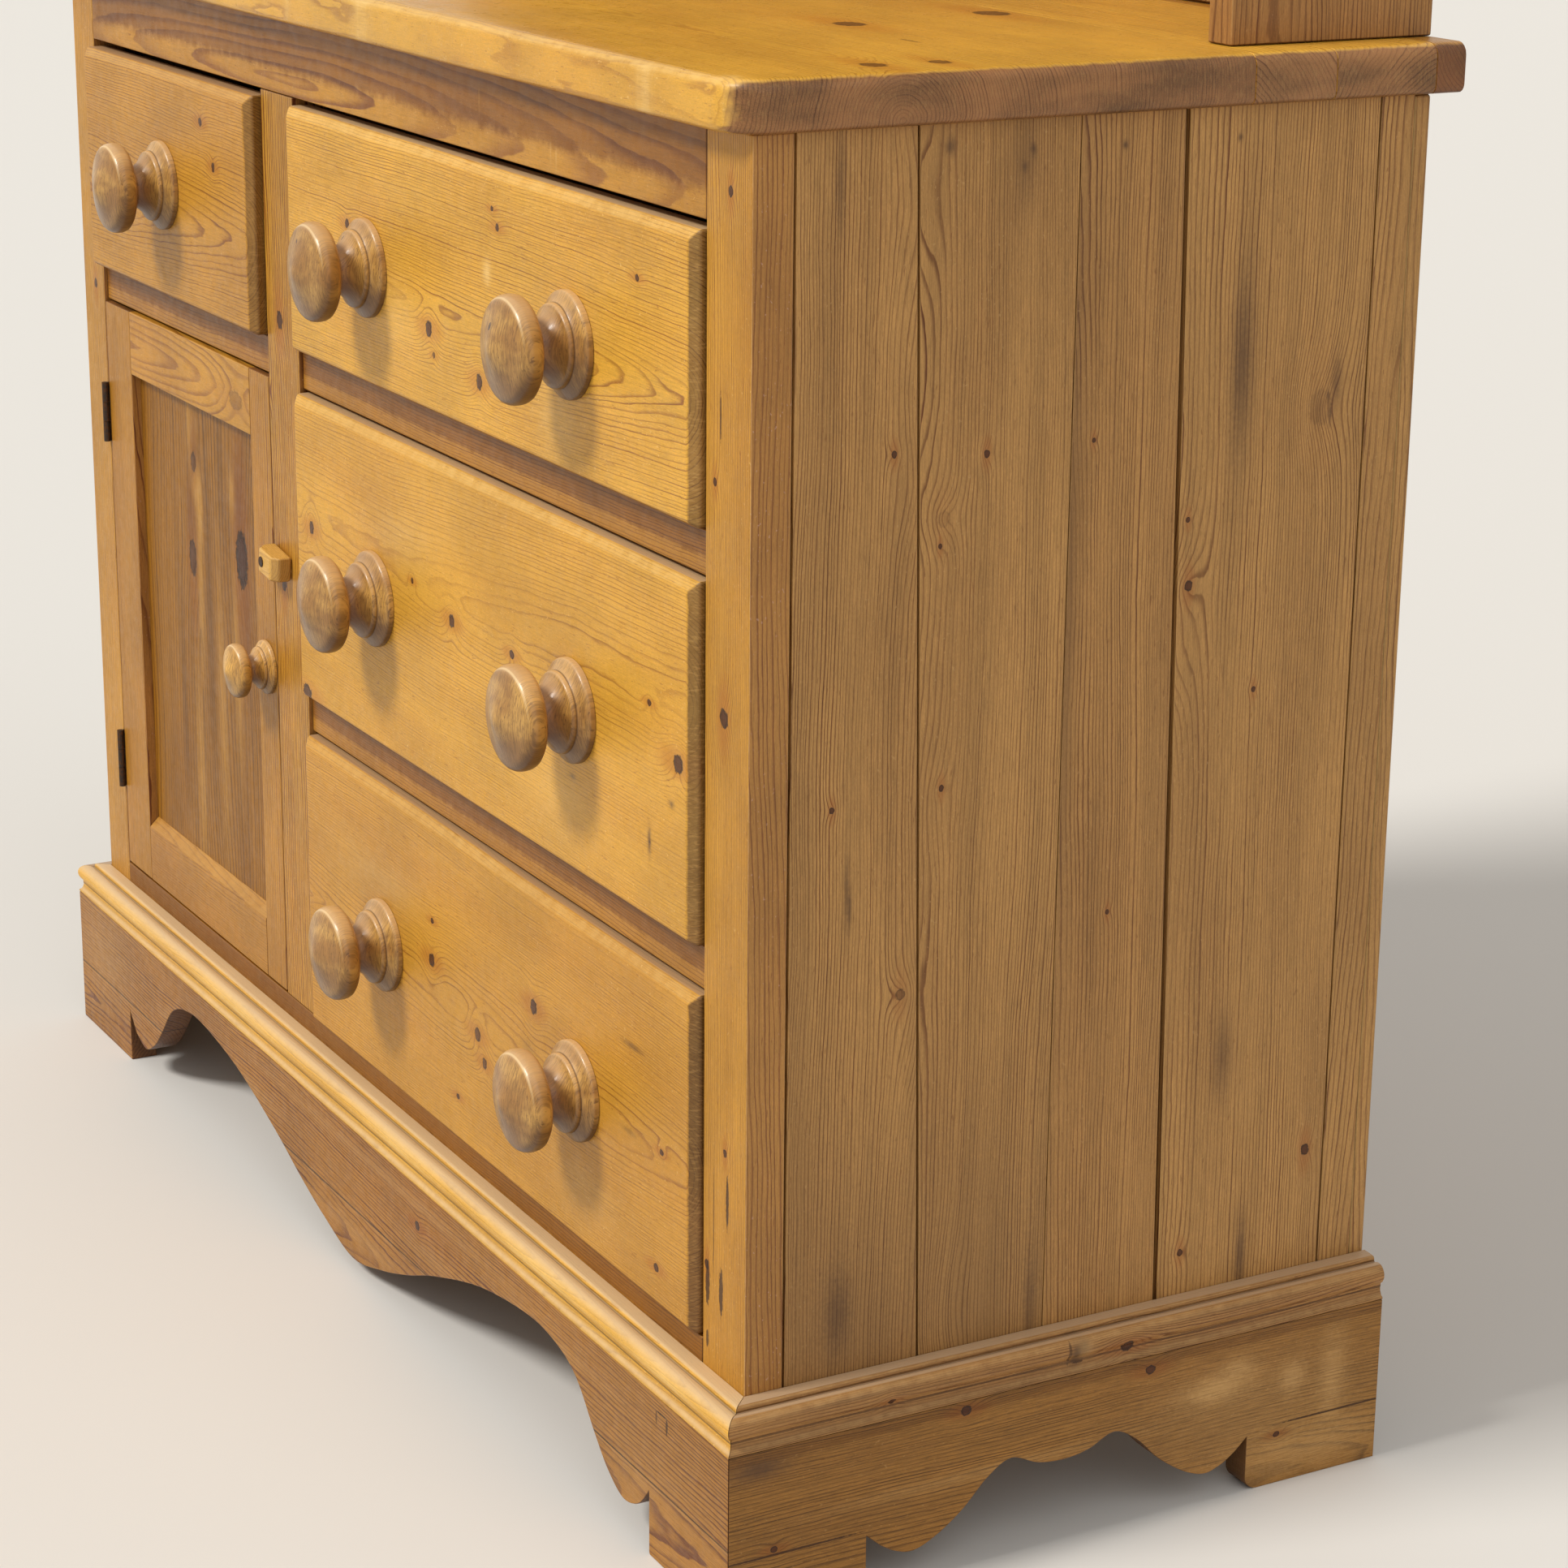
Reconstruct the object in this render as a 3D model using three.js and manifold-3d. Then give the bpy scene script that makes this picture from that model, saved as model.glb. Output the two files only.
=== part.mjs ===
// A welsh dresser in waxed pine: a base with a cupboard and four drawers on a scrolled plinth,
// and an open plate rack that stands on its top.
// Millimetres, +Z up, the front faces -Y. The floor is Z = 0 and the case is centred on X = 0.
// While the pieces are placed, Y = 0 is the face of the front frame. The last lines move the whole
// dresser so that the middle of its depth is at Y = 0.
import * as THREE from 'three';
import { mergeVertices } from 'three/addons/utils/BufferGeometryUtils.js';
import Module from 'manifold-3d';

// The gap at a glued, nailed or housed joint, and the overrun of a cutting solid
const jointGap = 0.3;
const overrun = 5;

// The case
const caseWidth = 1061;
const caseDepth = 430;
const caseHeight = 700;
const caseLap = 20;
const sideThickness = 18;
const backThickness = 12;
const bottomThickness = 20;
const partitionThickness = 20;

// The front frame
const frameThickness = 24.5;
const railSetback = 3;
const stileLeftWidth = 44;
const stileRightWidth = 50;
const muntinWidth = 55;
const muntinCentre = -125.5;
const topRailHeight = 50;
const railHeight = 25.5;
const bottomRailShow = 15;
const lowerOpeningHeight = 208;
const middleOpeningHeight = 210;

// The plank joints in the sides: distance from the front at the top and at the bottom, and width
const plankJointDepth = 6;
const firstPlankTop = 98;
const firstPlankBottom = 112;
const secondPlankTop = 266;
const secondPlankBottom = 276;
const thirdPlankTop = 395;
const thirdPlankBottom = 394;
const narrowJoint = 1;
const wideJoint = 2.2;

// The top
const topThickness = 28;
const topSideOverhang = 10;
const topFrontOverhang = 16;
const topBackOverhang = 14;
const topCornerRadius = 26;
const topArris = 5;
// The top is four boards glued edge to edge: where their joints lie behind the front frame's face
const frontBoardJoint = 302;
const middleBoardJoint = 356;
const topStripDepth = 20;
const glueJointDepth = 1;
const glueJointWidth = 1.2;
const stripJointDepth = 2.5;
const stripJointWidth = 4;
const topCurveSegments = 4;

// The plinth and the moulding on it
const plinthHeight = 105.5;
const plinthProjection = 20.5;
const mouldingHeight = 25;
// The moulding's section: share of the projection, share of the height
const mouldingShares = [
  [0, 0], [0, 1], [0.38, 0.98], [0.45, 0.96], [0.48, 0.9], [0.56, 0.88], [0.73, 0.87], [0.88, 0.78],
  [0.97, 0.62], [0.99, 0.46], [0.92, 0.3], [0.86, 0.28], [0.88, 0.18], [0.93, 0.08], [1, 0],
];
const frontFootLeft = 112;
const frontFootRight = 98;
const sideFootFront = 69;
const sideFootBack = 97;
const frontNotchShare = 0.384;
const sideNotchShare = 0.34;
// Each place on a scroll: share of the half span from its middle, share of the plinth's height
const frontScrollShares = [
  [0, 0.09], [0.11, 0.19], [0.21, 0.327], [0.315, 0.498], [0.47, 0.697], [0.62, 0.796], [0.71, 0.787],
  [0.78, 0.687], [0.84, 0.431], [0.88, 0.28], [0.925, 0.194], [0.97, 0.25],
];
const sideScrollShares = [
  [0, 0.498], [0.136, 0.521], [0.27, 0.588], [0.39, 0.507], [0.515, 0.351],
  [0.65, 0.232], [0.765, 0.178], [0.855, 0.204], [0.93, 0.261],
];

// Drawers
const frontThickness = 20;
const frontChamferWidth = 5.5;
const frontChamferDepth = 4.5;
const frontSideGap = 1.5;
const frontBottomGap = 1.5;
const tightTopGap = 2;
const looseTopGap = 5;
const drawerProud = 7;
const lowerDrawerProud = 6;
const smallDrawerProud = 10;
const drawerBackRoom = 18;
const drawerSideThickness = 12;
const drawerBottomThickness = 8;
const drawerBottomRise = 6;
const drawerSideDrop = 8;
const runningGap = 0.4;
const runnerThickness = 14;
const guideHeight = 14;
const knobInsetLeft = 138.5;
const knobInsetRight = 150;
const knobDrop = 5;

// Knobs: share of the radius, share of the length
const drawerKnobDiameter = 62;
const drawerKnobLength = 50;
const doorKnobDiameter = 38;
const doorKnobLength = 31;
const knobSides = 20;
const knobShares = [
  [1, 0], [1, 0.08], [0.97, 0.11], [0.855, 0.14], [0.806, 0.2], [0.79, 0.26], [0.758, 0.29],
  [0.61, 0.32], [0.484, 0.38], [0.435, 0.44], [0.468, 0.49], [0.645, 0.53], [0.87, 0.56],
  [0.984, 0.6], [1, 0.64], [0.968, 0.74], [0.855, 0.84], [0.66, 0.93], [0.387, 0.986],
];

// The cupboard door
const doorThickness = 20;
const doorGap = 1.5;
const doorHingeStileWidth = 51;
const doorLockStileWidth = 36;
const doorTopRailHeight = 47;
const doorBottomRailHeight = 50;
const panelSetback = 7;
const panelThickness = 7;
const panelTongue = 8;
const doorKnobHeight = 235;

// Hinges
const hingeHeight = 45;
const hingeInset = 84;
const hingeGap = 1.8;
const hingeLeafThickness = 0.6;
const leafClearance = 0.1;
const hingeLeafWidth = 17;
const knuckleRadius = 2.5;
const knuckleClearance = 0.3;
const pinRadius = 1.2;
const knuckleSides = 12;
const leafRootShare = 0.7;

// The turn button beside the door
const buttonShortEnd = 10.5;
const buttonLongEnd = 22;
const buttonHeight = 19;
const buttonThickness = 14;
const buttonBevel = 4;
const buttonPivotInset = 12.5;
const buttonPivotRise = 318.5;
const buttonTiltDegrees = 8;

// The plate rack
const rackHeight = 1010;
const rackDepth = 137;
const rackInset = 22;
const rackSideThickness = 22;
const rackBackThickness = 10;
const rackShelfThickness = 20;
const rackLowerShelfRise = 330;
const rackUpperShelfRise = 620;
const rackShelfSetback = 6;
const plateGrooveWidth = 7;
const plateGrooveDepth = 4;
const plateGrooveInset = 45;
const friezeHeight = 95;
const friezeThickness = 18;
const friezeScrollShares = [
  [0, 0.3], [0.2, 0.42], [0.42, 0.62], [0.6, 0.56], [0.75, 0.36], [0.9, 0.26],
];
const corniceHeight = 48;
const corniceProjection = 34;
const corniceShares = [
  [0.1, 0], [0.1, 0.12], [0.3, 0.2], [0.42, 0.36], [0.68, 0.6], [0.9, 0.7], [1, 0.82], [1, 1],
];
const rackPlankCount = 8;
const plankGrooveWidth = 4;
const plankGrooveDepth = 2.5;

// Levels and edges worked out from the sizes above
const halfCase = caseWidth / 2;
const caseFoot = plinthHeight + mouldingHeight;
const caseUnderside = plinthHeight - caseLap;
const caseTop = caseFoot + caseHeight;
const topSurface = caseTop + topThickness;
const bottomRailTop = caseFoot + bottomRailShow;
const lowerRailTop = bottomRailTop + lowerOpeningHeight + railHeight;
const upperRailTop = lowerRailTop + middleOpeningHeight + railHeight;
const topRailUnderside = caseTop - topRailHeight;
const upperOpeningHeight = topRailUnderside - upperRailTop;
const topBack = caseDepth + topBackOverhang;
const outerPlinth = halfCase + plinthProjection;
const insideFront = frameThickness + jointGap;
const insideBack = caseDepth - backThickness - jointGap;
const insideCase = halfCase - sideThickness - jointGap;
const leftBay = { left: stileLeftWidth - halfCase, right: muntinCentre - muntinWidth / 2 };
const rightBay = { left: muntinCentre + muntinWidth / 2, right: halfCase - stileRightWidth };
const partitionLeft = muntinCentre - partitionThickness / 2;
const partitionRight = muntinCentre + partitionThickness / 2;
const rackOuter = halfCase - rackInset;
const rackInner = rackOuter - rackSideThickness;
const rackFront = topBack - rackDepth;
const rackBackFace = topBack - rackBackThickness;
const rackTop = topSurface + rackHeight;
const corniceUnderside = rackTop - corniceHeight;

const wasm = await Module();
wasm.setup();

// A closed three.js mesh becomes a solid that can be joined and cut, and comes back again
function toSolid(geometry) {
  const bare = geometry.clone();
  bare.deleteAttribute('normal');
  bare.deleteAttribute('uv');
  const merged = mergeVertices(bare);
  const vertProperties = new Float32Array(merged.attributes.position.array);
  const triVerts = new Uint32Array(merged.index.array);
  return new wasm.Manifold(new wasm.Mesh({ numProp: 3, vertProperties, triVerts }));
}

function toGeometry(solid) {
  const mesh = solid.getMesh();
  const geometry = new THREE.BufferGeometry();
  geometry.setAttribute('position', new THREE.BufferAttribute(mesh.vertProperties, 3));
  geometry.setIndex(new THREE.BufferAttribute(mesh.triVerts, 1));
  return geometry;
}

function finish(colour, roughness, metalness) {
  return new THREE.MeshStandardMaterial({ color: colour, roughness, metalness });
}

const frontPine = () => finish('#c98f45', 0.45, 0);
const sidePine = () => finish('#a8733c', 0.5, 0);
const insidePine = () => finish('#c9a26a', 0.7, 0);
const knobPine = () => finish('#a9773f', 0.35, 0);
const iron = () => finish('#3a332c', 0.55, 0.8);

// A named piece, set in its parent at a place
function piece(parent, name, geometry, material, x = 0, y = 0, z = 0) {
  const mesh = new THREE.Mesh(geometry, material);
  mesh.name = name;
  mesh.position.set(x, y, z);
  parent.add(mesh);
  return mesh;
}

// A board between two corners
function board(parent, name, material, low, high) {
  const size = high.map((value, axis) => value - low[axis]);
  const middle = high.map((value, axis) => (value + low[axis]) / 2);
  return piece(parent, name, new THREE.BoxGeometry(...size), material, ...middle);
}

function outline(points) {
  return new THREE.Shape(points.map(([across, up]) => new THREE.Vector2(across, up)));
}

function boxGeometry(low, high) {
  const size = high.map((value, axis) => value - low[axis]);
  const middle = high.map((value, axis) => (value + low[axis]) / 2);
  return new THREE.BoxGeometry(...size).translate(...middle);
}

// Extrusions of an outline: drawn in plan and raised along Z, drawn from the front (X, Z) and
// pushed back along Y, or drawn from the side (Y, Z) and carried along X
const axisX = new THREE.Vector3(1, 0, 0);
const axisY = new THREE.Vector3(0, 1, 0);
const axisZ = new THREE.Vector3(0, 0, 1);

function alongZ(shape, height) {
  return new THREE.ExtrudeGeometry(shape, { depth: height, bevelEnabled: false, curveSegments: 4 });
}

function alongY(shape, length) {
  const turn = new THREE.Matrix4().makeBasis(axisX, axisZ, axisY.clone().negate());
  const geometry = new THREE.ExtrudeGeometry(shape, { depth: length, bevelEnabled: false, curveSegments: 2 });
  return geometry.applyMatrix4(turn).translate(0, length, 0);
}

function alongX(shape, length) {
  const turn = new THREE.Matrix4().makeBasis(axisY, axisZ, axisX);
  const geometry = new THREE.ExtrudeGeometry(shape, { depth: length, bevelEnabled: false, curveSegments: 2 });
  return geometry.applyMatrix4(turn);
}

// Moves the points of a geometry by a rule
function reshape(geometry, rule) {
  const position = geometry.attributes.position;
  const point = new THREE.Vector3();
  for (let index = 0; index < position.count; index += 1) {
    point.fromBufferAttribute(position, index);
    rule(point);
    position.setXYZ(index, point.x, point.y, point.z);
  }
  return geometry;
}

const dresser = new THREE.Group();
const base = new THREE.Group();
dresser.add(base);

// The front frame: two stiles and the muntin run the full height, and the rails fit between them
function addFrontFrame() {
  const uprights = [
    ['stile_left', -halfCase, leftBay.left, caseUnderside, caseTop - jointGap],
    ['stile_right', rightBay.right, halfCase, caseUnderside, caseTop - jointGap],
    ['muntin', leftBay.right, rightBay.left, bottomRailTop + jointGap, topRailUnderside - jointGap],
  ];
  for (const [name, left, right, low, high] of uprights) {
    board(base, name, frontPine(), [left, 0, low], [right, frameThickness, high]);
  }
  const rails = [
    ['top_rail', leftBay.left, rightBay.right, topRailUnderside, caseTop - jointGap, 0],
    ['bottom_rail', leftBay.left, rightBay.right, caseUnderside, bottomRailTop, 0],
    ['rail_left', leftBay.left, leftBay.right, upperRailTop - railHeight, upperRailTop, railSetback],
    ['rail_upper', rightBay.left, rightBay.right, upperRailTop - railHeight, upperRailTop, railSetback],
    ['rail_lower', rightBay.left, rightBay.right, lowerRailTop - railHeight, lowerRailTop, railSetback],
  ];
  for (const [name, left, right, low, high, setback] of rails) {
    const from = [left + jointGap, setback, low];
    board(base, name, frontPine(), from, [right - jointGap, frameThickness, high]);
  }
}

// A side of planks: one solid board with a slanting cut in its outer face at each plank joint
function addSide(name, side) {
  const outer = side * halfCase;
  const inner = side * (halfCase - sideThickness);
  const low = [Math.min(inner, outer), insideFront, caseUnderside];
  const high = [Math.max(inner, outer), insideBack, caseTop - jointGap];
  let solid = toSolid(boxGeometry(low, high));
  const joints = [
    [firstPlankTop, firstPlankBottom, narrowJoint],
    [secondPlankTop, secondPlankBottom, wideJoint],
    [thirdPlankTop, thirdPlankBottom, narrowJoint],
  ];
  for (const [atTop, atBottom, width] of joints) {
    const cut = outline([
      [atBottom - width / 2, caseUnderside - overrun],
      [atBottom + width / 2, caseUnderside - overrun],
      [atTop + width / 2, caseTop + overrun],
      [atTop - width / 2, caseTop + overrun],
    ]);
    const start = side > 0 ? outer - plankJointDepth : outer - overrun;
    const groove = alongX(cut, plankJointDepth + overrun).translate(start, 0, 0);
    solid = solid.subtract(toSolid(groove));
  }
  piece(base, name, toGeometry(solid), sidePine());
}

// The drawer guides stand on a shelf and fill the room between a bay's opening and the case
function guidedShelf(left, right, bay, thickness) {
  return outline([
    [left, -thickness], [right, -thickness], [right, guideHeight],
    [bay.right + frontSideGap / 2, guideHeight],
    [bay.right + frontSideGap / 2, 0], [bay.left - frontSideGap / 2, 0],
    [bay.left - frontSideGap / 2, guideHeight], [left, guideHeight],
  ]);
}

function addInside() {
  const depth = insideBack - insideFront;
  const bottomTop = bottomRailTop;
  const floor = outline([
    [-insideCase, -bottomThickness], [insideCase, -bottomThickness], [insideCase, guideHeight],
    [rightBay.right + frontSideGap / 2, guideHeight], [rightBay.right + frontSideGap / 2, 0],
    [rightBay.left - frontSideGap / 2, 0], [rightBay.left - frontSideGap / 2, guideHeight],
    [partitionRight + jointGap, guideHeight], [partitionRight + jointGap, 0], [-insideCase, 0],
  ]);
  piece(base, 'case_bottom', alongY(floor, depth), insidePine(), 0, insideFront, bottomTop);
  const partitionLow = [partitionLeft, insideFront, bottomTop + jointGap];
  board(base, 'partition', insidePine(), partitionLow, [partitionRight, insideBack, caseTop - jointGap]);
  const backLow = [-halfCase, caseDepth - backThickness, caseUnderside];
  board(base, 'case_back', insidePine(), backLow, [halfCase, caseDepth, caseTop - jointGap]);
  const shelves = [
    ['runner_shelf_left', -insideCase, partitionLeft - jointGap, leftBay, upperRailTop],
    ['runner_shelf_upper', partitionRight + jointGap, insideCase, rightBay, upperRailTop],
    ['runner_shelf_lower', partitionRight + jointGap, insideCase, rightBay, lowerRailTop],
  ];
  for (const [name, left, right, bay, level] of shelves) {
    const shape = guidedShelf(left, right, bay, runnerThickness);
    piece(base, name, alongY(shape, depth), insidePine(), 0, insideFront, level);
  }
}

// The top: a plan with rounded front corners, met by soft arrises seen from the side and the front
function softBar(from, to) {
  const shape = new THREE.Shape();
  shape.moveTo(from + topArris, 0);
  shape.lineTo(to - topArris, 0);
  shape.quadraticCurveTo(to, 0, to, topArris);
  shape.lineTo(to, topThickness - topArris);
  shape.quadraticCurveTo(to, topThickness, to - topArris, topThickness);
  shape.lineTo(from + topArris, topThickness);
  shape.quadraticCurveTo(from, topThickness, from, topThickness - topArris);
  shape.lineTo(from, topArris);
  shape.quadraticCurveTo(from, 0, from + topArris, 0);
  return shape;
}

function squareEndedBar(from, to) {
  const shape = new THREE.Shape();
  shape.moveTo(from + topArris, 0);
  shape.lineTo(to, 0);
  shape.lineTo(to, topThickness);
  shape.lineTo(from + topArris, topThickness);
  shape.quadraticCurveTo(from, topThickness, from, topThickness - topArris);
  shape.lineTo(from, topArris);
  shape.quadraticCurveTo(from, 0, from + topArris, 0);
  return shape;
}

// A quarter round at a front corner of the top's plan
function cornerPoints(side, halfTop) {
  const points = [];
  for (let step = 0; step <= topCurveSegments; step += 1) {
    const angle = (step / topCurveSegments) * (Math.PI / 2);
    const x = halfTop - topCornerRadius * (1 - Math.sin(angle));
    points.push([side * x, -topFrontOverhang + topCornerRadius * (1 - Math.cos(angle))]);
  }
  return points;
}

// A V cut along the whole top, where two of its boards meet
function topJoint(place, width, depth, halfTop) {
  const cut = outline([
    [place, topThickness - depth], [place + width / 2, topThickness + overrun],
    [place - width / 2, topThickness + overrun],
  ]);
  return toSolid(alongX(cut, 2 * (halfTop + overrun)).translate(-halfTop - overrun, 0, 0));
}

function addTop() {
  const halfTop = halfCase + topSideOverhang;
  const rightCorner = cornerPoints(1, halfTop);
  const leftCorner = cornerPoints(-1, halfTop).reverse();
  const plan = outline([...rightCorner, [halfTop, topBack], [-halfTop, topBack], ...leftCorner]);
  const slab = toSolid(alongZ(plan, topThickness));
  const sideView = squareEndedBar(-topFrontOverhang, topBack);
  const depth = toSolid(alongX(sideView, 2 * halfTop).translate(-halfTop, 0, 0));
  const width = softBar(-halfTop, halfTop);
  const across = toSolid(alongY(width, topBack + topFrontOverhang).translate(0, -topFrontOverhang, 0));
  const joints = [
    topJoint(frontBoardJoint, glueJointWidth, glueJointDepth, halfTop),
    topJoint(middleBoardJoint, glueJointWidth, glueJointDepth, halfTop),
    topJoint(topBack - topStripDepth, stripJointWidth, stripJointDepth, halfTop),
  ];
  const blank = slab.intersect(depth).intersect(across);
  const top = joints.reduce((solid, joint) => solid.subtract(joint), blank);
  piece(base, 'top_board', toGeometry(top), frontPine(), 0, 0, caseTop);
}

// The scrolled lower edge of an apron, from the foot at its left to the foot at its right
function scrollPoints(left, right, shares, height) {
  const middle = (left + right) / 2;
  const half = (right - left) / 2;
  const rightHalf = shares.map(([across, up]) => new THREE.Vector2(middle + across * half, up * height));
  const leftHalf = rightHalf.slice(1).map((point) => new THREE.Vector2(2 * middle - point.x, point.y));
  return [...leftHalf.reverse(), ...rightHalf];
}

function apron(left, right, leftFoot, rightFoot, shares, notchShare) {
  const notch = notchShare * plinthHeight;
  const shape = new THREE.Shape();
  shape.moveTo(left, 0);
  shape.lineTo(left + leftFoot, 0);
  shape.lineTo(left + leftFoot, notch);
  shape.splineThru([
    ...scrollPoints(left + leftFoot, right - rightFoot, shares, plinthHeight),
    new THREE.Vector2(right - rightFoot, notch),
  ]);
  shape.lineTo(right - rightFoot, 0);
  shape.lineTo(right, 0);
  shape.lineTo(right, plinthHeight);
  shape.lineTo(left, plinthHeight);
  return shape;
}

// The plinth boards stand round the foot of the case, mitred at the front corners
function addPlinth() {
  const thickness = plinthProjection - jointGap;
  const front = apron(
    -outerPlinth, outerPlinth, frontFootLeft, frontFootRight, frontScrollShares, frontNotchShare,
  );
  const frontBoard = alongY(front, thickness).translate(0, -plinthProjection, 0);
  reshape(frontBoard, (point) => {
    const atEnd = Math.abs(point.x) > outerPlinth - jointGap;
    if (atEnd) point.x = Math.sign(point.x) * (halfCase - point.y - jointGap);
  });
  piece(base, 'plinth_front', frontBoard, frontPine());
  for (const [name, side] of [['plinth_left', -1], ['plinth_right', 1]]) {
    const shape = apron(0, caseDepth + plinthProjection, sideFootFront + plinthProjection,
      sideFootBack, sideScrollShares, sideNotchShare);
    const start = side > 0 ? halfCase + jointGap : -outerPlinth;
    const sideBoard = alongX(shape, thickness).translate(start, -plinthProjection, 0);
    reshape(sideBoard, (point) => {
      const atFront = point.y < jointGap - plinthProjection;
      if (atFront) point.y = halfCase - Math.abs(point.x);
    });
    piece(base, name, sideBoard, sidePine());
  }
}

// The moulding's section: a flat fillet, a groove, a half round, a quirk and a hollow
function mouldingSection(side) {
  const reach = plinthProjection - jointGap;
  const rise = mouldingHeight - jointGap;
  return outline(mouldingShares.map(([out, up]) => [side * (jointGap + out * reach), jointGap + up * rise]));
}

function addMoulding() {
  const length = caseDepth;
  // The front strip is drawn from the side, with its projection along -Y
  const front = alongX(mouldingSection(-1), 2 * halfCase).translate(-halfCase, 0, plinthHeight);
  reshape(front, (point) => {
    point.x = Math.sign(point.x) * (halfCase - point.y - jointGap);
  });
  piece(base, 'moulding_front', front, frontPine());
  for (const [name, side] of [['moulding_left', -1], ['moulding_right', 1]]) {
    const strip = alongY(mouldingSection(side), length).translate(side * halfCase, 0, plinthHeight);
    reshape(strip, (point) => {
      if (point.y < length / 2) point.y = halfCase - Math.abs(point.x);
    });
    piece(base, name, strip, sidePine());
  }
}

// A turned knob: its flat base is at the origin and its cap points to -Y
function knobGeometry(diameter, length) {
  const points = knobShares.map(([out, along]) => new THREE.Vector2((out * diameter) / 2, along * length));
  points.unshift(new THREE.Vector2(0, 0));
  points.push(new THREE.Vector2(0, length));
  return new THREE.LatheGeometry(points, knobSides).rotateX(Math.PI);
}

// A drawer front: chamfered all round its face
function frontGeometry(width, height) {
  const x = width / 2;
  const face = outline([
    [-x + frontChamferWidth, 0], [x - frontChamferWidth, 0], [x, frontChamferDepth],
    [x, frontThickness], [-x, frontThickness], [-x, frontChamferDepth],
  ]);
  const profile = outline([
    [0, frontChamferWidth], [frontChamferDepth, 0], [frontThickness, 0],
    [frontThickness, height], [frontChamferDepth, height], [0, height - frontChamferWidth],
  ]);
  const inPlan = toSolid(alongZ(face, height));
  const fromSide = toSolid(alongX(profile, width).translate(-x, 0, 0));
  return toGeometry(inPlan.intersect(fromSide));
}

// A drawer: front, one dovetailed box of sides and back, a bottom and its knobs
function addDrawer(name, bay, level, openingHeight, topGap, proud, knobPlaces, drop) {
  const drawer = new THREE.Group();
  drawer.position.set((bay.left + bay.right) / 2, -proud, level);
  base.add(drawer);
  const width = bay.right - bay.left - 2 * frontSideGap;
  const height = openingHeight - frontBottomGap - topGap;
  piece(drawer, `${name}_front`, frontGeometry(width, height), frontPine(), 0, 0, frontBottomGap);
  const start = frontThickness + jointGap;
  const length = insideBack - drawerBackRoom + proud - start;
  const half = width / 2;
  const inner = half - drawerSideThickness;
  const walls = outline([
    [-half, 0], [-inner, 0], [-inner, length - drawerSideThickness], [inner, length - drawerSideThickness],
    [inner, 0], [half, 0], [half, length], [-half, length],
  ]);
  const wallHeight = height - drawerSideDrop;
  piece(drawer, `${name}_box`, alongZ(walls, wallHeight), insidePine(), 0, start, runningGap);
  const low = [-inner + jointGap, start, runningGap + drawerBottomRise];
  const back = start + length - drawerSideThickness;
  const high = [inner - jointGap, back - jointGap, low[2] + drawerBottomThickness];
  board(drawer, `${name}_bottom`, insidePine(), low, high);
  const knobLevel = frontBottomGap + height / 2 - drop;
  for (const [suffix, x] of knobPlaces(half)) {
    const knob = knobGeometry(drawerKnobDiameter, drawerKnobLength);
    piece(drawer, `${name}_knob${suffix}`, knob, knobPine(), x, -jointGap, knobLevel);
  }
}

function addDrawers() {
  const single = () => [['', 0]];
  const pair = (half) => [
    ['_left', knobInsetLeft - frontSideGap - half],
    ['_right', half + frontSideGap - knobInsetRight],
  ];
  const upper = [upperRailTop, upperOpeningHeight, looseTopGap];
  const middle = [lowerRailTop, middleOpeningHeight, tightTopGap];
  const lower = [bottomRailTop, lowerOpeningHeight, tightTopGap];
  addDrawer('small_drawer', leftBay, ...upper, smallDrawerProud, single, 0);
  addDrawer('upper_drawer', rightBay, ...upper, drawerProud, pair, knobDrop);
  addDrawer('middle_drawer', rightBay, ...middle, drawerProud, pair, knobDrop);
  addDrawer('lower_drawer', rightBay, ...lower, lowerDrawerProud, pair, knobDrop);
}

// The door's frame members, grooved for the panel, in a group whose origin is the hinge axis
const hingeX = leftBay.left + hingeGap / 2;
const hingeY = -knuckleRadius - knuckleClearance;
const doorLow = bottomRailTop + doorGap;
const doorHigh = upperRailTop - railHeight - doorGap;

function groovedSection(width, grooveAtEnd) {
  const nearFace = panelSetback - jointGap;
  const farFace = panelSetback + panelThickness + jointGap;
  const depth = panelTongue + jointGap;
  const points = [[0, 0], [width, 0], [width, nearFace], [width - depth, nearFace],
    [width - depth, farFace], [width, farFace], [width, doorThickness], [0, doorThickness]];
  return points.map(([across, back]) => (grooveAtEnd ? [across, back] : [width - across, back]));
}

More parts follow.
